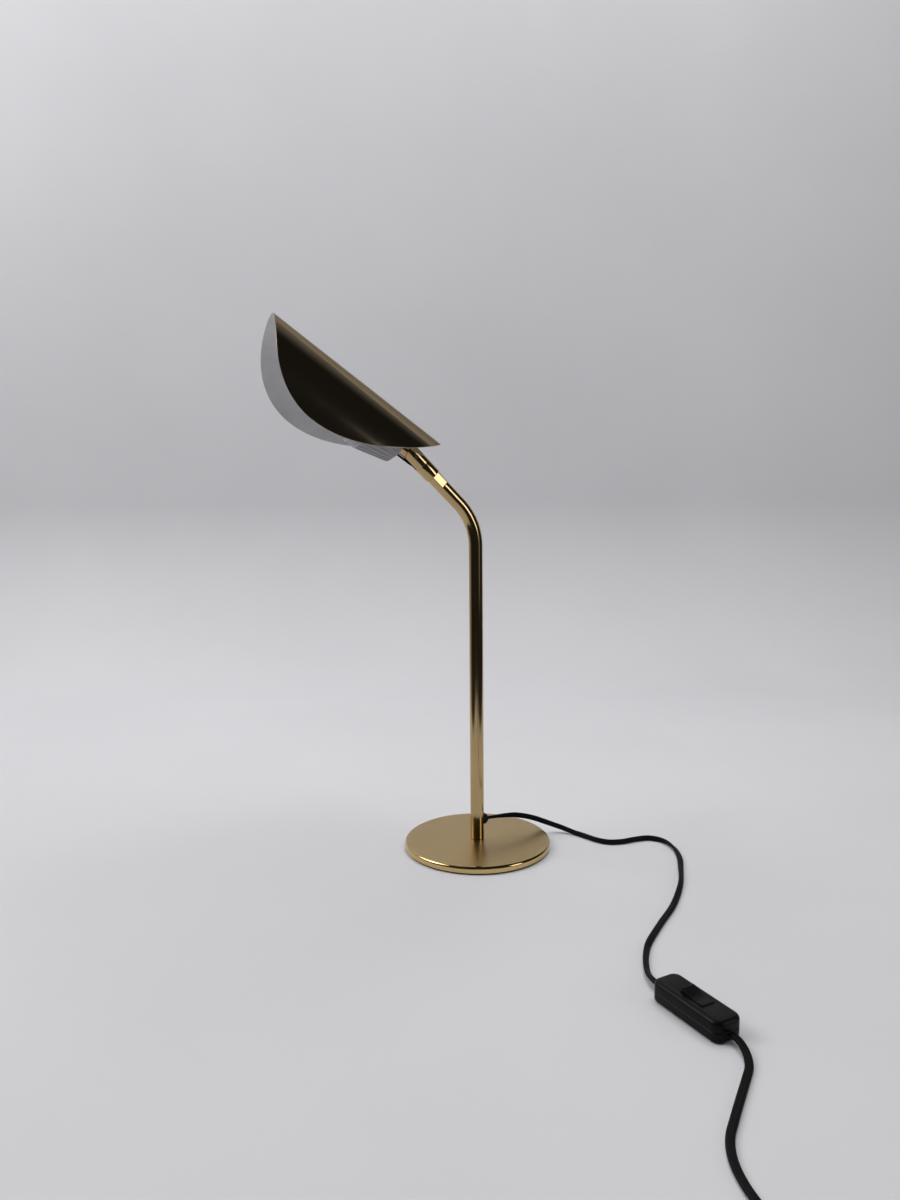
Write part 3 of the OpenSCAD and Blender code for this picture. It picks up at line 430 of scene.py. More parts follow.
# %% Bent tube
STEM_R, STEM_WALL, STEM_FOOT = 7.0, 1.0, 8.4
BEND_R, LEAN, KNEE_Z, ARM_LEN = 60.0, np.radians(45), 335.5, 49.8
BEND_LEN = BEND_R * np.tan(LEAN / 2)


def stem_line(bend_steps=48):
    """Centre line and its radial direction in the XZ plane: up the stem, round the arc whose points
    are (-R + R cos b, z + R sin b), and along the arm."""
    b = np.linspace(0, LEAN, bend_steps + 1)
    bend_z = KNEE_Z - BEND_LEN
    arc = joined(-BEND_R + BEND_R * np.cos(b), 0.0, bend_z + BEND_R * np.sin(b))
    away = joined(np.cos(b), 0.0, np.sin(b))
    foot = np.array([[0, 0, STEM_FOOT]])
    tip = arc[-1:] + (ARM_LEN - BEND_LEN) * np.array([[-np.sin(LEAN), 0, np.cos(LEAN)]])
    return np.vstack([foot, arc, tip]), np.vstack([away[:1], away, away[-1:]])


def bent_tube(name, r_out, r_in, segments=72):
    """Each ring is centre + r (cos a x away + sin a x Y). Rings of the outer radius run up the
    line, and rings of the inner radius run back down."""
    line, away = stem_line()
    line, away = np.vstack([line, line[::-1]]), np.vstack([away, away[::-1]])
    r = np.r_[np.full(len(line) // 2, r_out), np.full(len(line) // 2, r_in)][:, None, None]
    a = np.linspace(0, 2 * np.pi, segments, endpoint=False)[None, :, None]
    points = line[:, None] + r * (np.cos(a) * away[:, None] + np.sin(a) * Y)
    return grid_mesh(name, on_table(points), wrap_rows=True)


stem_pipe = bent_tube("stem_pipe", STEM_R, STEM_R - STEM_WALL)
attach(stem_pipe, "stand")
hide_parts("stem_tube")
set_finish(stem_pipe, "brass_tube")

# %% [markdown]
# ## The cord's exit
#
# A soft black grommet sits in a hole in the stem and guides the cord out. Its flange is saddled on
# the tube and its nose tapers to the cord's width. A turned profile makes it, with its back rings
# laid on the tube's curve.

# %% Grommet
FLANGE_R, FLANGE_T, NOSE_R, CORD_HOLE_R = 5.8, 1.3, 3.6, 1.8
NOSE_L = GROMMET_NOSE - STEM_R
SADDLE_FADE = 3.0


def grommet(name, segments=64):
    """A profile turned about X, whose back is pushed onto the tube: there x = sqrt(R^2 - y^2)."""
    front = eased(
        [
            [FLANGE_R, 0.0], [FLANGE_R, FLANGE_T], [FLANGE_R - 1.1, FLANGE_T + 1.0],
            [NOSE_R, NOSE_L], [CORD_HOLE_R, NOSE_L], [CORD_HOLE_R, -1.0],
        ],
        0.6,
    )
    a = np.linspace(0, 2 * np.pi, segments, endpoint=False)
    r, out = front.T[..., None]
    y, z = r * np.cos(a), r * np.sin(a)
    saddle = np.sqrt(np.maximum((STEM_R + 0.02) ** 2 - y**2, 0)) - STEM_R
    follow = np.clip(1 - out / SADDLE_FADE, 0, 1)
    points = joined(STEM_R + out + saddle * follow, y, EXIT_Z + z)
    return grid_mesh(name, on_table(points), wrap_rows=True)


strain_grommet = grommet("strain_grommet")
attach(strain_grommet, "stand")
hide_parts("cord_grommet")
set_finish(strain_grommet, "black_rubber")

# %% [markdown]
# ## Collar, sleeve and knuckle
#
# The collar between the arm and the sleeve has two flats for a spanner, and the fork and the tongue
# behind it are slotted and drilled. Their CAD solids are already exact, so each is copied, its
# triangles are merged, and its hard edges get a small bevel. The sleeve is a plain turned piece
# with a profile of its own.

# %% Copies of CAD solids
def refined_copy(node, name, bevel, angle=30):
    """A copy of a CAD solid with its loose triangles merged, first into a closed shell and then
    into whole flat faces. Its hard edges are broken by a small bevel, and each point's normal
    follows its largest faces, so that flats look flat and round walls look round."""
    mesh = NODES[node].data.copy()
    work = bmesh.new()
    work.from_mesh(mesh)
    bmesh.ops.remove_doubles(work, verts=work.verts, dist=2e-6)
    bmesh.ops.dissolve_limit(
        work, angle_limit=np.radians(1.0), verts=work.verts, edges=work.edges, delimit={"NORMAL"}
    )
    work.to_mesh(mesh)
    work.free()
    piece = finish_mesh(mesh, name, angle)
    softer = piece.modifiers.new("softened_edges", "BEVEL")
    softer.width, softer.segments = bevel, 2
    softer.limit_method, softer.angle_limit = "ANGLE", np.radians(angle)
    mesh.set_sharp_from_angle(angle=np.radians(180))
    fair = piece.modifiers.new("fair_normals", "WEIGHTED_NORMAL")
    fair.mode, fair.weight = "FACE_AREA", 80
    return piece


# %% Collar, sleeve, fork and tongue
SLEEVE_R, SLEEVE_FOOT, SLEEVE_TOP = 8.2, 63.9, 79.0 - 0.02
BORE_R, BORE_FLOOR, STUD_HOLE_R = 6.6, 67.9, 4.1
sleeve_profile = eased(
    [
        [SLEEVE_R, SLEEVE_FOOT], [SLEEVE_R, SLEEVE_TOP], [BORE_R, SLEEVE_TOP],
        [BORE_R, BORE_FLOOR], [STUD_HOLE_R, BORE_FLOOR], [STUD_HOLE_R, SLEEVE_FOOT],
    ],
    [0.35, 0.1, 0.1, 0.1, 0.1, 0.1], 3, closed=True,
)
turning_sleeve = turned("turning_sleeve", sleeve_profile, on_sleeve)
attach(turning_sleeve, "sleeve")
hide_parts("head_sleeve")
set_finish(turning_sleeve, "brass_tube")

COPIES = (
    ("swivel_collar", "spanner_collar", "stand", 0.2), ("fork", "slotted_fork", "sleeve", 0.25),
    ("knuckle", "tongue_and_barrel", "head", 0.25),
)
for node, name, body, bevel in COPIES:
    copied = refined_copy(node, name, bevel * MM)
    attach(copied, body)
    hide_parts(node)
    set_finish(copied, "brass_tube")

# %% [markdown]
# ## The shade
#
# The shade is one leaf of brass sheet bent round a straight ridge. Flat, the leaf is an egg-shaped
# oval. Bent, each point keeps its distance from the ridge, measured along the sheet. So the surface
# is worked out as the flat leaf first, and then wrapped round a cylinder. Its two faces lie a
# sheet's thickness apart and meet in a rounded edge. A thinner leaf of the same form, laid inside
# it, is the white paint.

# %% Leaf shade
SHADE_LEN, SHADE_BEND, SHADE_EGG, SHADE_T = 193.6, 63.0, 0.22, 0.8
RIDGE_RISE, RIDGE_BACK = 24.2, 12.3
TIP_GAP = 0.012


def leaf_points(t, share, depth):
    """A point of the leaf: t runs from the front tip (0) to the rear tip (pi), share from one edge
    (-1) to the other (1). The half width is R sin t (1 + egg cos t). Wrapped at radius rb, a width
    s turns through s / rb. depth moves the point inwards, square to the sheet."""
    half = SHADE_LEN / 2
    width = np.minimum(half * np.sin(t) * (1 + SHADE_EGG * np.cos(t)), SHADE_BEND * np.pi / 2)
    turn = share * width / SHADE_BEND
    r = SHADE_BEND - depth
    z = half * (1 + np.cos(t)) - RIDGE_BACK
    return joined(RIDGE_RISE - SHADE_BEND + r * np.cos(turn), r * np.sin(turn), z)


def leaf_sheet(name, depth_from, depth_to, edge, rows=120, across=64):
    """A closed sheet between two depths. Going round it once, share runs from edge to edge on the
    outside, turns round the rim on a half circle, and runs back on the inside."""
    t = np.linspace(TIP_GAP, np.pi - TIP_GAP, rows)[:, None]
    share = np.sin(np.linspace(-np.pi / 2, np.pi / 2, across)) * (1 - edge)
    half_t = (depth_to - depth_from) / 2
    bow = np.linspace(-np.pi / 2, np.pi / 2, 7)[1:-1]
    rim = 1 - edge + edge * np.cos(bow)
    shares = np.r_[share, rim, share[::-1], -rim[::-1]]
    depths = np.r_[
        np.full(across, depth_from), depth_from + half_t * (1 + np.sin(bow)),
        np.full(across, depth_to), depth_to - half_t * (1 + np.sin(bow)),
    ]
    return grid_mesh(name, on_head(leaf_points(t, shares[None], depths[None])), sharp=60)


shade_sheet = leaf_sheet("shade_sheet", 0.0, SHADE_T, edge=0.006)
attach(shade_sheet, "head")
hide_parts("shade")
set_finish(shade_sheet, "brass_shade")
shade_paint = leaf_sheet("shade_paint", SHADE_T - 0.02, SHADE_T + 0.06, edge=0.012)
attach(shade_paint, "head")
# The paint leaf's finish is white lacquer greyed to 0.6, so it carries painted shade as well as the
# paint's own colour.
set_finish(shade_paint, "white_lacquer")

# %% [markdown]
# ## The lamp body
#
# Under the ridge sits a grey ribbed cone that carries the light and sheds its heat. Twenty-four
# ribs run along it. They could be an array of blades, but as one surface they stay closed and
# light: the radius is the core's own plus a rib's height wherever the angle falls on a rib.

# %% Ribbed body
LAMP_DROP = 3.5
BOSS_R, LAMP_SEAT, BOSS_LEN = 10.3, 16.7, 2.4
LAMP_D, LAMP_BACK_D, LAMP_LEN, BEZEL_LEN = 50.0, 33.0, 47.5, 14.0
RIBS, RIB_T, RIB_H, GAP_FILL = 24, 1.5, 1.6, 0.45
CONE_BACK = LAMP_SEAT + BOSS_LEN
LAMP_FRONT = CONE_BACK + LAMP_LEN
BEZEL_BACK = LAMP_FRONT - BEZEL_LEN
CORE_BACK, CORE_FRONT = LAMP_BACK_D / 2 - RIB_H, LAMP_D / 2 - RIB_H
on_lamp = framed(PIVOT - LAMP_DROP * MM * head_up, head_up, TILT_AXIS, ridge)


def ribbed_body(name):
    """radius = core + height x rib(a), where rib is 1 on a rib and less in the filled gaps between,
    with short slopes. The ribs' height grows over the first rows and falls at the last."""
    pitch = 2 * np.pi / RIBS
    mean_r = (CORE_BACK + CORE_FRONT) / 2 + RIB_H
    slope = RIB_T / 2 / (mean_r * pitch) * np.array([1.9, 1.15, 0.8])
    per_rib = np.r_[-0.5, -slope, 0.0, slope[::-1]]
    up = [GAP_FILL, GAP_FILL, 0.55, 0.96, 1.0, 0.96, 0.55, GAP_FILL]
    a = ((np.arange(RIBS)[:, None] + 0.5 + per_rib[None]) * pitch).ravel()
    rows = np.array(
        [
            [CONE_BACK, 0.35], [CONE_BACK + 0.25, 0.7], [CONE_BACK + 1.2, 1], [30, 1], [40, 1],
            [BEZEL_BACK - 0.5, 1], [BEZEL_BACK, 0.9],
        ]
    )
    h, growth = rows[:, :1], rows[:, 1:]
    core = CORE_BACK + (CORE_FRONT - CORE_BACK) * ((h - CONE_BACK) / (BEZEL_BACK - CONE_BACK))
    side = core + RIB_H * growth * np.tile(up, RIBS)[None]
    boss = np.array(
        [
            [BOSS_R - 0.3, LAMP_SEAT], [BOSS_R, LAMP_SEAT + 0.3], [BOSS_R, CONE_BACK - 0.2],
            [BOSS_R + 0.2, CONE_BACK],
        ]
    )
    r = np.vstack([np.broadcast_to(boss[:, :1], (len(boss), len(a))), side])
    z = np.vstack([boss[:, 1:], h])
    return grid_mesh(name, on_lamp(joined(r * np.cos(a), r * np.sin(a), z)), sharp=28)


ribbed = ribbed_body("ribbed_lamp_body")

# %% Grooved front ring
LENS_R = CORE_FRONT - 3
GROOVES_AT, GROOVE_DEEP, GROOVE_MOUTH, GROOVE_FLOOR = (3.0, 6.0, 9.0), 0.6, 0.7, 0.45
one_groove = (
    (0, -GROOVE_MOUTH), (GROOVE_DEEP, -GROOVE_FLOOR), (GROOVE_DEEP, GROOVE_FLOOR),
    (0, GROOVE_MOUTH),
)
ring_grooves = [
    [LAMP_D / 2 - deep, BEZEL_BACK + middle + off]
    for middle in GROOVES_AT
    for deep, off in one_groove
]
ring_back = BEZEL_BACK + 0.02
lens_seat = BEZEL_BACK + 2.45
ring_profile = eased(
    [
        [LENS_R + 0.1, ring_back], [LAMP_D / 2, ring_back], *ring_grooves,
        [LAMP_D / 2, LAMP_FRONT], [LENS_R + 0.8, LAMP_FRONT],
        [LENS_R - 2.0, lens_seat], [LENS_R + 0.1, lens_seat],
    ],
    np.r_[0.1, 0.3, np.full(len(ring_grooves), 0.15), 0.9, 0.6, 0.2, 0.1], closed=True,
)
front_ring = turned("front_ring", ring_profile, on_lamp, segments=128)

# %% Domed lens
LENS_BACK, LENS_EDGE, LENS_DOME = BEZEL_BACK + 0.4, BEZEL_BACK + 1.4, 0.9
dome = np.linspace(0, 1, 14)
lens_profile = np.vstack(
    [
        [[0.0, LENS_BACK], [LENS_R, LENS_BACK]],
        joined(LENS_R * (1 - dome) ** 0.6, LENS_EDGE + LENS_DOME * dome**0.5),
    ]
)
frosted_lens = turned("frosted_lens", lens_profile, on_lamp, closed=False)
LAMP_PIECES = (
    (ribbed, "lamp_body", "lamp_grey"), (front_ring, "bezel", "bezel_metal"),
    (frosted_lens, "lens", "lens_frost"),
)
for piece, node, slot in LAMP_PIECES:
    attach(piece, "head")
    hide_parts(node)
    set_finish(piece, slot)

# %% [markdown]
# ## The switch
#
# The inline switch has two moulded halves that meet in a fine line, and a seesaw rocker in a window
# of the upper half. Both halves are stacks of rounded rectangles: each ring has its own size, so
# the long edges roll over as a moulding's do. The upper half's rings go on over the top and down
# inside its window.

# %% Stacks of rounded rectangles
def ring_stack(name, rings, place, corner_steps=10, closed=False):
    """A stack of rounded rectangles. Each ring is (half length, half width, corner radius, height,
    shift), and its outline runs round as corner centre + radius (cos a, sin a)."""
    a = (np.arange(4)[:, None] * 90 + np.linspace(0, 90, corner_steps + 1)[None]).ravel()
    a = np.radians(a)
    turn_x = np.repeat([1, -1, -1, 1], corner_steps + 1)
    turn_y = np.repeat([1, 1, -1, -1], corner_steps + 1)
    half_l, half_w, corner, height, shift = np.asarray(rings, float).T[..., None]
    corner = np.minimum(corner, np.minimum(half_l, half_w))
    x = shift + (half_l - corner) * turn_x + corner * np.cos(a)
    y = (half_w - corner) * turn_y + corner * np.sin(a)
    return grid_mesh(name, place(joined(x, y, height)), wrap_rows=closed)


# %% Switch housing
SWITCH_W, SWITCH_H, SPLIT, CORNER = 24.0, 15.5, 7.5, 7.0
FOOT_ROUND, TOP_ROUND = 2.6, 3.2
SEAM_DEEP, SEAM_HIGH, SEAM_GAP = 0.3, 0.35, 0.02
ROCKER_X, ROCKER_L, ROCKER_W = 1.5, 21.0, 10.8
WINDOW_L, WINDOW_W = ROCKER_L / 2 + 0.5, ROCKER_W / 2 + 0.3


def housing(inset, height):
    """One ring of the housing's outline, drawn in by inset."""
    return [SWITCH_L / 2 - inset, SWITCH_W / 2 - inset, CORNER - inset, height, 0]


quarter = np.radians(np.linspace(0, 90, 7))
lower_rings = [
    housing(FOOT_ROUND * (1 - np.sin(b)), FOOT_ROUND * (1 - np.cos(b))) for b in quarter
]
lower_rings += [housing(0, SPLIT - SEAM_HIGH), housing(SEAM_DEEP, SPLIT - SEAM_GAP)]
lower_half = ring_stack("switch_lower_half", lower_rings, on_switch)

upper_rings = [housing(SEAM_DEEP, SPLIT + SEAM_GAP), housing(0, SPLIT + SEAM_HIGH)]
upper_rings += [
    housing(TOP_ROUND * (1 - np.cos(b)), SWITCH_H - TOP_ROUND * (1 - np.sin(b))) for b in quarter
]
upper_rings += [
    [WINDOW_L + wider, WINDOW_W + wider, corner, height, ROCKER_X]
    for wider, corner, height in (
        (0.8, 1.6, SWITCH_H), (0.2, 1.0, SWITCH_H - 0.15), (0, 0.8, SWITCH_H - 0.5),
        (0, 0.8, SPLIT + SEAM_GAP),
    )
]
upper_half = ring_stack("switch_upper_half", upper_rings, on_switch, closed=True)
for piece, node in ((lower_half, "switch_base"), (upper_half, "switch_cover")):
    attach(piece, "stand")
    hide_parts(node)
    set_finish(piece, "black_plastic")

# %% Rocker
ROCKER_PIVOT = np.array(JOINTS["rocker_tilt"]["pos_m"], float)
ROCKER_TILT = np.radians(10)
WING, EDGE_ROUND = np.radians(14), 0.7
rocker_along = switch_along * np.cos(ROCKER_TILT) - Z * np.sin(ROCKER_TILT)
rocker_up = Z * np.cos(ROCKER_TILT) + switch_along * np.sin(ROCKER_TILT)
on_rocker = framed(ROCKER_PIVOT, rocker_along, switch_across, rocker_up)


def seesaw(name, half_l, width, centre_h, depth):
    """The rocker's side view, a shallow V on top with rounded ends, carried across its width. Near
    each side the outline is drawn in by 1 - cos, so that the long edges are round."""
    rise = centre_h + half_l * np.tan(WING)
    outline = eased(
        [
            [-half_l, -depth], [-half_l, rise], [0, centre_h], [half_l, rise], [half_l, -depth],
            [0, -depth - 1],
        ],
        [0.5, 1.6, 6.0, 1.6, 0.5, 3.0], 6, closed=True,
    )
    b = np.linspace(-np.pi / 2, np.pi / 2, 9)
    side = np.sign(b) * (width / 2 - EDGE_ROUND + EDGE_ROUND * np.abs(np.sin(b)))
    side[len(side) // 2] = 0
    inset = EDGE_ROUND * (1 - np.cos(b) ** 0.5)
    flat = outline[None] * (1 - inset[:, None, None] / half_l)
    points = joined(flat[..., 0], side[:, None], flat[..., 1])
    return grid_mesh(name, on_rocker(points), sharp=40)


rocker_piece = seesaw("rocker", ROCKER_L / 2, ROCKER_W, centre_h=2.6, depth=4.5)
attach(rocker_piece, "rocker")
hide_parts("switch_rocker")
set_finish(rocker_piece, "black_plastic")

# %% [markdown]
# ## The plug
#
# The flat two-pin plug is a moulding too. It is a stack of rounded rectangles again, this time
# along the cord: narrow where the strain relief enters, swelling to a grip, and straight at its
# face. The strain relief is turned, with grooves that let it bend.

# %% Plug
PLUG_W, PLUG_L, RELIEF_L = 35.3, 36.0, 24.0
on_plug = framed(np.array([COIL_AT[0] - TAIL, COIL_FRONT, PLUG_Z]) * MM, -Y, Z, -X)

# Each row: how far along the plug, half its width there, half its thickness, corner radius.
PLUG_SHAPE = [
    (0, 5.0, 4.6, 4.4), (0.5, 6.2, 5.6, 5.0), (3, 8.0, 6.4, 5.4), (8, 10.4, 6.8, 5.2),
    (15, 13.6, PLUG_T / 2, 5.0), (22, 16.4, PLUG_T / 2, 4.8), (28, 17.5, PLUG_T / 2, 4.6),
    (PLUG_L - 1, PLUG_W / 2, PLUG_T / 2, 4.6),
    (PLUG_L - 0.3, PLUG_W / 2 - 0.3, PLUG_T / 2 - 0.3, 4.4),
    (PLUG_L, PLUG_W / 2 - 1, PLUG_T / 2 - 1, 4.0),
]
plug_rings = [[w, thick, corner, RELIEF_L + along, 0] for along, w, thick, corner in PLUG_SHAPE]
plug_piece = ring_stack("plug_moulding", plug_rings, on_plug)

# %% Strain relief
RELIEF_TIP_R, RELIEF_SWELL, RELIEF_BORE_R = 3.4, 1.6, 2.0
RELIEF_GROOVES, SOFT_DEEP, SOFT_HALF = (4.4, 8.8, 13.2, 17.6), 0.7, 1.1


def relief_profile():
    """A taper that swells towards the plug, with four soft grooves: each is a smoothstep of the
    distance from its middle."""
    h = np.linspace(0, RELIEF_L, 97)
    r = RELIEF_TIP_R + RELIEF_SWELL * np.clip(h / (RELIEF_L - 3), 0, 1)
    off = np.abs(h[None] - np.array(RELIEF_GROOVES)[:, None])
    r = r - SOFT_DEEP * smoothstep(1 - off / SOFT_HALF).max(axis=0)
    bore = [[RELIEF_BORE_R, 0], [RELIEF_BORE_R, RELIEF_L]]
    return np.vstack([bore[:1], joined(r, h), bore[1:]])


relief_piece = turned("plug_strain_relief", relief_profile(), on_plug, segments=48, closed=False)
for piece, node in ((plug_piece, "plug_body"), (relief_piece, "plug_relief")):
    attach(piece, "stand")
    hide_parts(node)
    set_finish(piece, "black_plastic")

# %% [markdown]
# ## Shared shader groups
#
# Three effects are used by several materials: a fine drawn grain, slow blotches that make a finish
# uneven, and a film of dust on faces that look up. Each is built once as a node group with its own
# inputs, and the materials set its values. The shader editor could wire them by hand. Here one
# helper makes a node and gives each input a number or a link.

# %% Node helpers
def add_node(tree, kind, inputs, **settings):
    """A shader node with its settings and its inputs, by name or number. An input that is another
    node's output is linked, and any other is set. The new node's outputs come back."""
    node = tree.nodes.new("ShaderNode" + kind)
    for label, value in settings.items():
        setattr(node, label, value)
    for label, value in inputs.items():
        if isinstance(value, bpy.types.NodeSocket):
            tree.links.new(value, node.inputs[label])
        else:
            node.inputs[label].default_value = value
    return node.outputs


def maths(tree, operation, a, b, clamp=False):
    """a and b, sockets or plain numbers, put together by one operation."""
    return add_node(tree, "Math", {0: a, 1: b}, operation=operation, use_clamp=clamp)[0]


def between(tree, value, low, high, start=0.0, end=1.0, curve="LINEAR"):
    """Runs from low to high while the value runs from start to end."""
    inputs = {"Value": value, "From Min": start, "From Max": end, "To Min": low, "To Max": high}
    return add_node(tree, "MapRange", inputs, interpolation_type=curve)[0]


def noise(tree, vector, scale, detail, rough):
    """Cloudy noise from 0 to 1, with features about 1 / scale metres wide."""
    inputs = {"Vector": vector, "Scale": scale, "Detail": detail, "Roughness": rough}
    return add_node(tree, "TexNoise", inputs)["Fac"]


# %% Grain, blotches and dust
def new_group(name, inputs, output):
    """An empty shader group with a Vector input, float inputs and one float output."""
    tree = bpy.data.node_groups.new(name, "ShaderNodeTree")
    tree.interface.new_socket("Vector", in_out="INPUT", socket_type="NodeSocketVector")
    for label, value in inputs.items():
        socket = tree.interface.new_socket(label, in_out="INPUT", socket_type="NodeSocketFloat")
        socket.default_value = value
    tree.interface.new_socket(output, in_out="OUTPUT", socket_type="NodeSocketFloat")
    print("shader group", name, "with inputs", list(inputs))
    return tree, tree.nodes.new("NodeGroupInput").outputs, tree.nodes.new("NodeGroupOutput").inputs


def build_grain():
    """Fine scratches: noise of one scale across and a much smaller one along Z."""
    tree, given, result = new_group("drawn_grain", {"Across": 900.0, "Along": 12.0}, "Height")
    scales = {"X": given["Across"], "Y": given["Across"], "Z": given["Along"]}
    inputs = {0: given["Vector"], 1: add_node(tree, "CombineXYZ", scales)[0]}
    stretched = add_node(tree, "VectorMath", inputs, operation="MULTIPLY")[0]
    tree.links.new(noise(tree, stretched, 1.0, detail=3.0, rough=0.6), result["Height"])
    return tree


def build_blotches():
    """Slow, soft patches between two limits."""
    tree, given, result = new_group(
        "soft_blotches", {"Scale": 30.0, "Low": 0.0, "High": 1.0}, "Value"
    )
    slow = noise(tree, given["Vector"], given["Scale"], detail=4.0, rough=0.55)
    clamped = maths(tree, "MULTIPLY", between(tree, slow, -0.6, 1.6), 1.0, clamp=True)
    tree.links.new(between(tree, clamped, given["Low"], given["High"]), result["Value"])
    return tree


def build_dust():
    """A thin film on faces that look up, broken up by fine noise: normal's Z x speckle x amount."""
    tree, given, result = new_group("settled_dust", {"Amount": 0.2}, "Mask")
    normal = add_node(tree, "NewGeometry", {})["Normal"]
    height = add_node(tree, "SeparateXYZ", {0: normal})["Z"]
    upward = maths(tree, "MULTIPLY", height, 1.0, clamp=True)
    speckle = noise(tree, given["Vector"], 420.0, detail=5.0, rough=0.7)
    speckle = between(tree, speckle, -0.4, 1.4)
    film = maths(tree, "MULTIPLY", upward, speckle, clamp=True)
    tree.links.new(maths(tree, "MULTIPLY", film, given["Amount"], clamp=True), result["Mask"])
    return tree


GRAIN, BLOTCHES, DUST = build_grain(), build_blotches(), build_dust()


# %% Material helpers
def start_material(name, **sockets):
    """A new material whose shader's plain values are set by socket name. With it come its tree,
    its shader and each point's place in metres."""
    material = bpy.data.materials.new(name)
    material.use_nodes = True
    tree = material.node_tree
    shader = tree.nodes["Principled BSDF"]
    for label, value in sockets.items():
        shader.inputs[label.replace("_", " ")].default_value = value
    print("material", material.name)
    return material, tree, shader, add_node(tree, "TexCoord", {})["Object"]


def use_group(tree, group, here, **values):
    """One of the shared groups, placed in a material with its own values."""
    return add_node(tree, "Group", {"Vector": here, **values}, node_tree=group)[0]


def mixed_colour(tree, mask, first, second):
    """A colour that goes from first to second as mask goes from 0 to 1."""
    inputs = {"Factor": mask, 6: first, 7: (*second, 1)}
    return add_node(tree, "Mix", inputs, data_type="RGBA")[2]


def dusty_colour(tree, here, patch, first, second, amount, dust):
    """A colour that drifts between two in soft patches, under a film of dust."""
    film = use_group(tree, DUST, here, Amount=amount)
    drift = use_group(tree, BLOTCHES, here, Scale=patch)
    return mixed_colour(tree, film, mixed_colour(tree, drift, (*first, 1), second), dust)


def bumped(tree, shader, height, strength):
    """Tilts the surface as a height of up to a tenth of a millimetre would."""
    inputs = {"Strength": strength, "Distance": 0.1 * MM, "Height": height}
    tree.links.new(add_node(tree, "Bump", inputs)[0], shader.inputs["Normal"])


# %% [markdown]
# ## The finishes
#
# The metal is brass under a clear coat, in three states: satin on the base, glossier on the tube,
# and darker and finely brushed on the shade. Each has a metal colour that drifts a little, a
# roughness that is never even, and a fine grain. The base's rim is polished, because it is buffed
# after its top is brushed. The other materials are moulded or coated, and differ in their numbers
# only, so one function makes them all.

# %% Brass
BRASS_PATCH, BRASS_DUST = 18.0, (0.55, 0.52, 0.47)


def polished_beyond(tree, here, roughness, radius, polish):
    """The roughness given, and polish where a point is further than radius from the Z axis."""
    level = add_node(tree, "VectorMath", {0: here, 1: (1, 1, 0)}, operation="MULTIPLY")[0]
    reach = add_node(tree, "VectorMath", {0: level}, operation="LENGTH")["Value"]
    rim = maths(tree, "GREATER_THAN", reach, radius)
    kept = maths(tree, "MULTIPLY", roughness, maths(tree, "SUBTRACT", 1.0, rim))
    return maths(tree, "ADD", kept, maths(tree, "MULTIPLY", rim, polish))


def brass(name, light, dark, rough, grain, lines, dust, polished=None, **sockets):
    """Brass whose colour drifts from light to dark and its roughness between two values. lines
    gives the grain's scale across and along. polished is polished_beyond's radius and polish."""
    material, tree, shader, here = start_material(name, Metallic=1.0, **sockets)
    colour = dusty_colour(tree, here, BRASS_PATCH, light, dark, dust, BRASS_DUST)
    tree.links.new(colour, shader.inputs["Base Color"])
    uneven = use_group(
        tree, BLOTCHES, here, Scale=BRASS_PATCH * 2.6, Low=rough[0], High=rough[1]
    )
    if polished:
        uneven = polished_beyond(tree, here, uneven, *polished)
    tree.links.new(uneven, shader.inputs["Roughness"])
    scratches = use_group(tree, GRAIN, here, Across=lines[0], Along=lines[1])
    bumped(tree, shader, scratches, grain)
    return material


satin_brass = brass(
    "satin_brass", light=(0.64, 0.465, 0.215), dark=(0.59, 0.425, 0.19), rough=(0.29, 0.35),
    grain=0.012, lines=(2600.0, 2600.0), dust=0.03, polished=(0.0722, 0.09),
)
tube_brass = brass(
    "tube_brass", light=(0.50, 0.365, 0.18), dark=(0.45, 0.325, 0.16), rough=(0.11, 0.15),
    grain=0.003, lines=(2600.0, 40.0), dust=0.0,
)
shade_brass = brass(
    "shade_brass", light=(0.37, 0.30, 0.215), dark=(0.33, 0.265, 0.19), rough=(0.11, 0.14),
    grain=0.01, lines=(2600.0, 60.0), dust=0.01, Specular_Tint=(0.5, 0.45, 0.37, 1),
)


# %% Plastics, rubber, paint and small metals
COLOUR_PATCH, ROUGH_PATCH, DARKER, PALE_DUST = 60.0, 90.0, 0.86, (0.42, 0.41, 0.39)


def moulded(name, colour, rough, pebble, dust=0.0, **sockets):
    """Moulded or coated material: a colour, a roughness that drifts between two values and a fine
    pebble of some scale and strength."""
    material, tree, shader, here = start_material(name, **sockets)
    darker = tuple(DARKER * c for c in colour)
    tint = dusty_colour(tree, here, COLOUR_PATCH, colour, darker, dust, PALE_DUST)
    tree.links.new(tint, shader.inputs["Base Color"])
    uneven = use_group(tree, BLOTCHES, here, Scale=ROUGH_PATCH, Low=rough[0], High=rough[1])
    tree.links.new(uneven, shader.inputs["Roughness"])
    bumped(tree, shader, noise(tree, here, pebble[0], detail=3.0, rough=0.6), pebble[1])
    return material


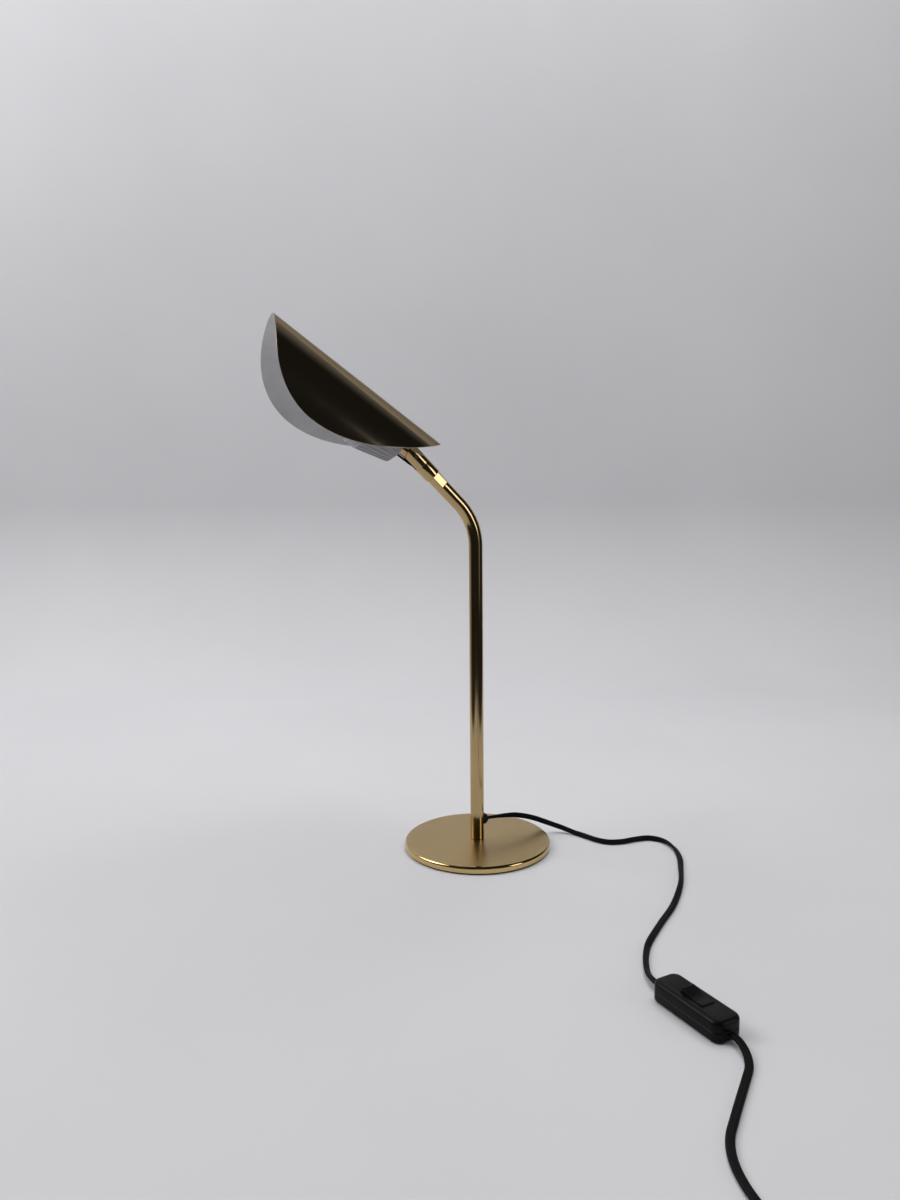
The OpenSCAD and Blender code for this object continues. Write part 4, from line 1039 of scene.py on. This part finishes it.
METAL = {"Metallic": 1.0}
RUBBER, BLACK = (0.008, 0.008, 0.008), (0.004, 0.004, 0.004)
FINISHES = {
    "brass_cover": satin_brass,
    "brass_tube": tube_brass,
    "brass_shade": shade_brass,
    # The lining is white lacquer, but its colour is set to a grey of 0.6: partly its own pale tone,
    # partly painted shade for the hollow under the shade.
    "white_lacquer": moulded("white_lacquer", (0.60, 0.60, 0.61), (0.45, 0.6), (900.0, 0.08)),
    "lamp_grey": moulded(
        "grey_coated_aluminium", (0.31, 0.295, 0.31), (0.5, 0.62), (1400.0, 0.1), Metallic=0.1
    ),
    "bezel_metal": moulded(
        "satin_aluminium", (0.38, 0.38, 0.39), (0.3, 0.38), (1600.0, 0.03), **METAL
    ),
    "lens_frost": moulded(
        "frosted_lens", (0.86, 0.88, 0.89), (0.35, 0.5), (1200.0, 0.1), Transmission_Weight=0.35
    ),
    "black_rubber": moulded(
        "black_rubber", RUBBER, (0.45, 0.6), (1500.0, 0.1), 0.01, Specular_IOR_Level=0.15
    ),
    "black_plastic": moulded(
        "black_moulding", BLACK, (0.3, 0.42), (1300.0, 0.05), 0.004, Specular_IOR_Level=0.12
    ),
    "black_cord": moulded(
        "black_cord", BLACK, (0.55, 0.65), (700.0, 0.06), 0.004, Specular_IOR_Level=0.12
    ),
    "nylon": moulded("nylon", (0.72, 0.70, 0.64), (0.4, 0.5), (900.0, 0.05)),
    "steel": moulded("zinc_steel", (0.55, 0.56, 0.57), (0.28, 0.42), (800.0, 0.1), **METAL),
    "dark_screw": moulded("brown_screw", (0.22, 0.18, 0.13), (0.28, 0.4), (800.0, 0.1), **METAL),
    "iron": moulded("cast_iron", (0.06, 0.06, 0.062), (0.6, 0.75), (380.0, 0.6), Metallic=0.6),
    "contact_brass": moulded(
        "bright_brass", (0.60, 0.42, 0.16), (0.2, 0.3), (900.0, 0.05), **METAL
    ),
    "nickel": moulded("nickel", (0.62, 0.60, 0.56), (0.14, 0.22), (900.0, 0.03), **METAL),
    "board_green": moulded("green_board", (0.03, 0.16, 0.07), (0.3, 0.4), (600.0, 0.05)),
    "board_white": moulded("white_board", (0.74, 0.74, 0.72), (0.35, 0.45), (600.0, 0.05)),
    "led_yellow": moulded("led_yellow", (0.80, 0.62, 0.16), (0.3, 0.4), (600.0, 0.05)),
}

# %% [markdown]
# ## Dressing the pieces
#
# Each CAD node and each new piece names a slot of the record. The slot picks the finish, so a new
# colour is set in one place.

# %% Put the finishes on
dressed = [(node, SLOT_OF[name]) for name, node in NODES.items()]
dressed += [(piece, piece["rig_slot"]) for piece in bpy.data.objects if "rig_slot" in piece]
for piece, slot in dressed:
    piece.data.materials.clear()
    piece.data.materials.append(FINISHES[slot])
print("finishes put on", len(dressed), "pieces")

# %% [markdown]
# ## The set
#
# A pale table runs back and curves up into a pale wall. A larger floor carries the table on to the
# sides, for other views, and fades into the world's own pale colour. Polished metal shows whatever
# stands round it, so brass as dark as this lamp's needs something dim to mirror: what reflects sees
# the world pale behind the lamp and dim on the camera's side, and doesn't see the larger floor. To
# the camera all is plainly pale. A broad soft light stands to the left, a ceiling light fills in
# without being mirrored, and a far window to the right, dimmer below, draws the tube's bright line.

# %% Table and wall
PALE, DIM, FILL = 0.55, 0.02, 0.12
ROOM_TINT = (1.0, 1.0, 1.02)
view_x = np.array([np.cos(CAMERA_TURN), np.sin(CAMERA_TURN), 0])
view_y = np.array([-np.sin(CAMERA_TURN), np.cos(CAMERA_TURN), 0])


def open_sheet(name, points):
    """A grid of points as one open sheet, shaded smooth."""
    index = np.arange(points[..., 0].size).reshape(points.shape[:2])
    quads = joined(index[:-1, :-1], index[:-1, 1:], index[1:, 1:], index[1:, :-1])
    mesh = bpy.data.meshes.new(name)
    mesh.from_pydata(points.reshape(-1, 3).tolist(), [], quads.reshape(-1, 4).tolist())
    mesh.polygons.foreach_set("use_smooth", np.ones(len(mesh.polygons), bool))
    describe(name, mesh)
    return in_scene(name, mesh)


def sweep_points(front, back, height, radius, eye, widening, spare):
    """A floor, a quarter circle of the given radius and a wall. Seen from above it widens away from
    the camera: half width = widening x (depth + eye) + spare."""
    b = np.linspace(0, np.pi / 2, 24)
    level = np.linspace(front, back - radius, 12)[:-1]
    depth = np.r_[level, back - radius + radius * np.sin(b), back]
    rise = np.r_[np.zeros(len(level)), radius - radius * np.cos(b), height]
    half = widening * (depth + eye) + spare
    across = half[:, None] * np.linspace(-1, 1, 3)[None]
    return across[..., None] * view_x + depth[:, None, None] * view_y + rise[:, None, None] * Z


backdrop = open_sheet(
    "table_and_wall",
    sweep_points(
        front=-0.68, back=1.1, height=1.6, radius=0.35, eye=0.9, widening=0.52, spare=0.07
    ),
)
paint, tree, shader, here = start_material("pale_backdrop", Roughness=0.9)
drift = use_group(tree, BLOTCHES, here, Scale=1.5)
colour = mixed_colour(tree, drift, (0.62, 0.62, 0.64, 1), (0.57, 0.57, 0.59))
tree.links.new(colour, shader.inputs["Base Color"])
backdrop.data.materials.append(paint)

# %% Far floor
FLOOR_HALF, FLOOR_DROP = 3.0, 0.3 * MM
FADE_FROM, FADE_TO = 0.7, 1.9
floor_side = np.array([-FLOOR_HALF, FLOOR_HALF])
far_floor = open_sheet("far_floor", joined(floor_side[None], floor_side[:, None], -FLOOR_DROP))
far_floor.visible_glossy = False

far_paint = paint.copy()
far_paint.name = "pale_floor_fading_out"
tree = far_paint.node_tree
here = add_node(tree, "TexCoord", {})["Object"]
reach = add_node(tree, "VectorMath", {0: here}, operation="LENGTH")["Value"]
fade = between(tree, reach, 0.0, 1.0, FADE_FROM, FADE_TO, "SMOOTHSTEP")
glow = add_node(tree, "Emission", {"Color": (*ROOM_TINT, 1), "Strength": PALE})[0]
painted = tree.nodes["Principled BSDF"].outputs[0]
surface = add_node(tree, "MixShader", {0: fade, 1: painted, 2: glow})[0]
tree.links.new(surface, tree.nodes["Material Output"].inputs["Surface"])
far_floor.data.materials.append(far_paint)


# %% Lights
def from_camera(right, away, up):
    """A point by how far it is right of the lamp, beyond it and above the table, as seen."""
    return tuple(right * view_x + away * view_y + up * Z)


def area_light(name, place, aim, size, watts):
    """A soft rectangular lamp at a place, turned towards another."""
    data = bpy.data.lights.new(name, "AREA")
    data.shape = "RECTANGLE"
    data.size, data.size_y = size
    data.energy = watts
    light = in_scene(name, data)
    light.location = place
    light.rotation_euler = (Vector(aim) - Vector(place)).to_track_quat("-Z", "Y").to_euler()
    print("light", name, watts, "W")
    return light


WINDOW_X, WINDOW_Y, WINDOW_AIM = 1.17, -1.494, (-0.04, 0, 0.38)
area_light("broad_left", from_camera(-1.9, 0.1, 1.9), (0, 0, 0.2), (1.6, 1.6), 36)
ceiling = area_light("ceiling", from_camera(0.3, 0.2, 2.4), (0, 0, 0), (2.0, 2.0), 39)
ceiling.visible_glossy = False
area_light("far_window", (WINDOW_X, WINDOW_Y, 0.745), WINDOW_AIM, (0.6, 0.73), 4.0)
area_light("far_window_foot", (WINDOW_X, WINDOW_Y, 0.2), WINDOW_AIM, (0.6, 0.34), 0.12)

# %% World
PALE_SIDE = tuple(0.94 * view_y - 0.34 * view_x)
PALE_FROM, PALE_TO = 0.02, 0.92
world = bpy.data.worlds.new("room")
bpy.context.scene.world = world
world.use_nodes = True
room = world.node_tree
direction = add_node(room, "TexCoord", {})["Generated"]
ways = {0: direction, 1: PALE_SIDE}
facing = add_node(room, "VectorMath", ways, operation="DOT_PRODUCT")["Value"]
behind = between(room, facing, DIM, PALE, PALE_FROM, PALE_TO, "SMOOTHSTEP")
ray = add_node(room, "LightPath", {})
mirrored = maths(room, "MAXIMUM", ray["Is Glossy Ray"], ray["Is Transmission Ray"])
other = maths(room, "SUBTRACT", 1.0, maths(room, "MAXIMUM", mirrored, ray["Is Camera Ray"]))
seen = maths(room, "MULTIPLY", ray["Is Camera Ray"], PALE)
seen = maths(room, "ADD", seen, maths(room, "MULTIPLY", mirrored, behind))
seen = maths(room, "ADD", seen, maths(room, "MULTIPLY", other, FILL))
background = room.nodes["Background"].inputs
background["Color"].default_value = (*ROOM_TINT, 1)
room.links.new(seen, background["Strength"])
print("world:", PALE, "to the camera,", DIM, "to", PALE, "in mirrors,", FILL, "elsewhere")
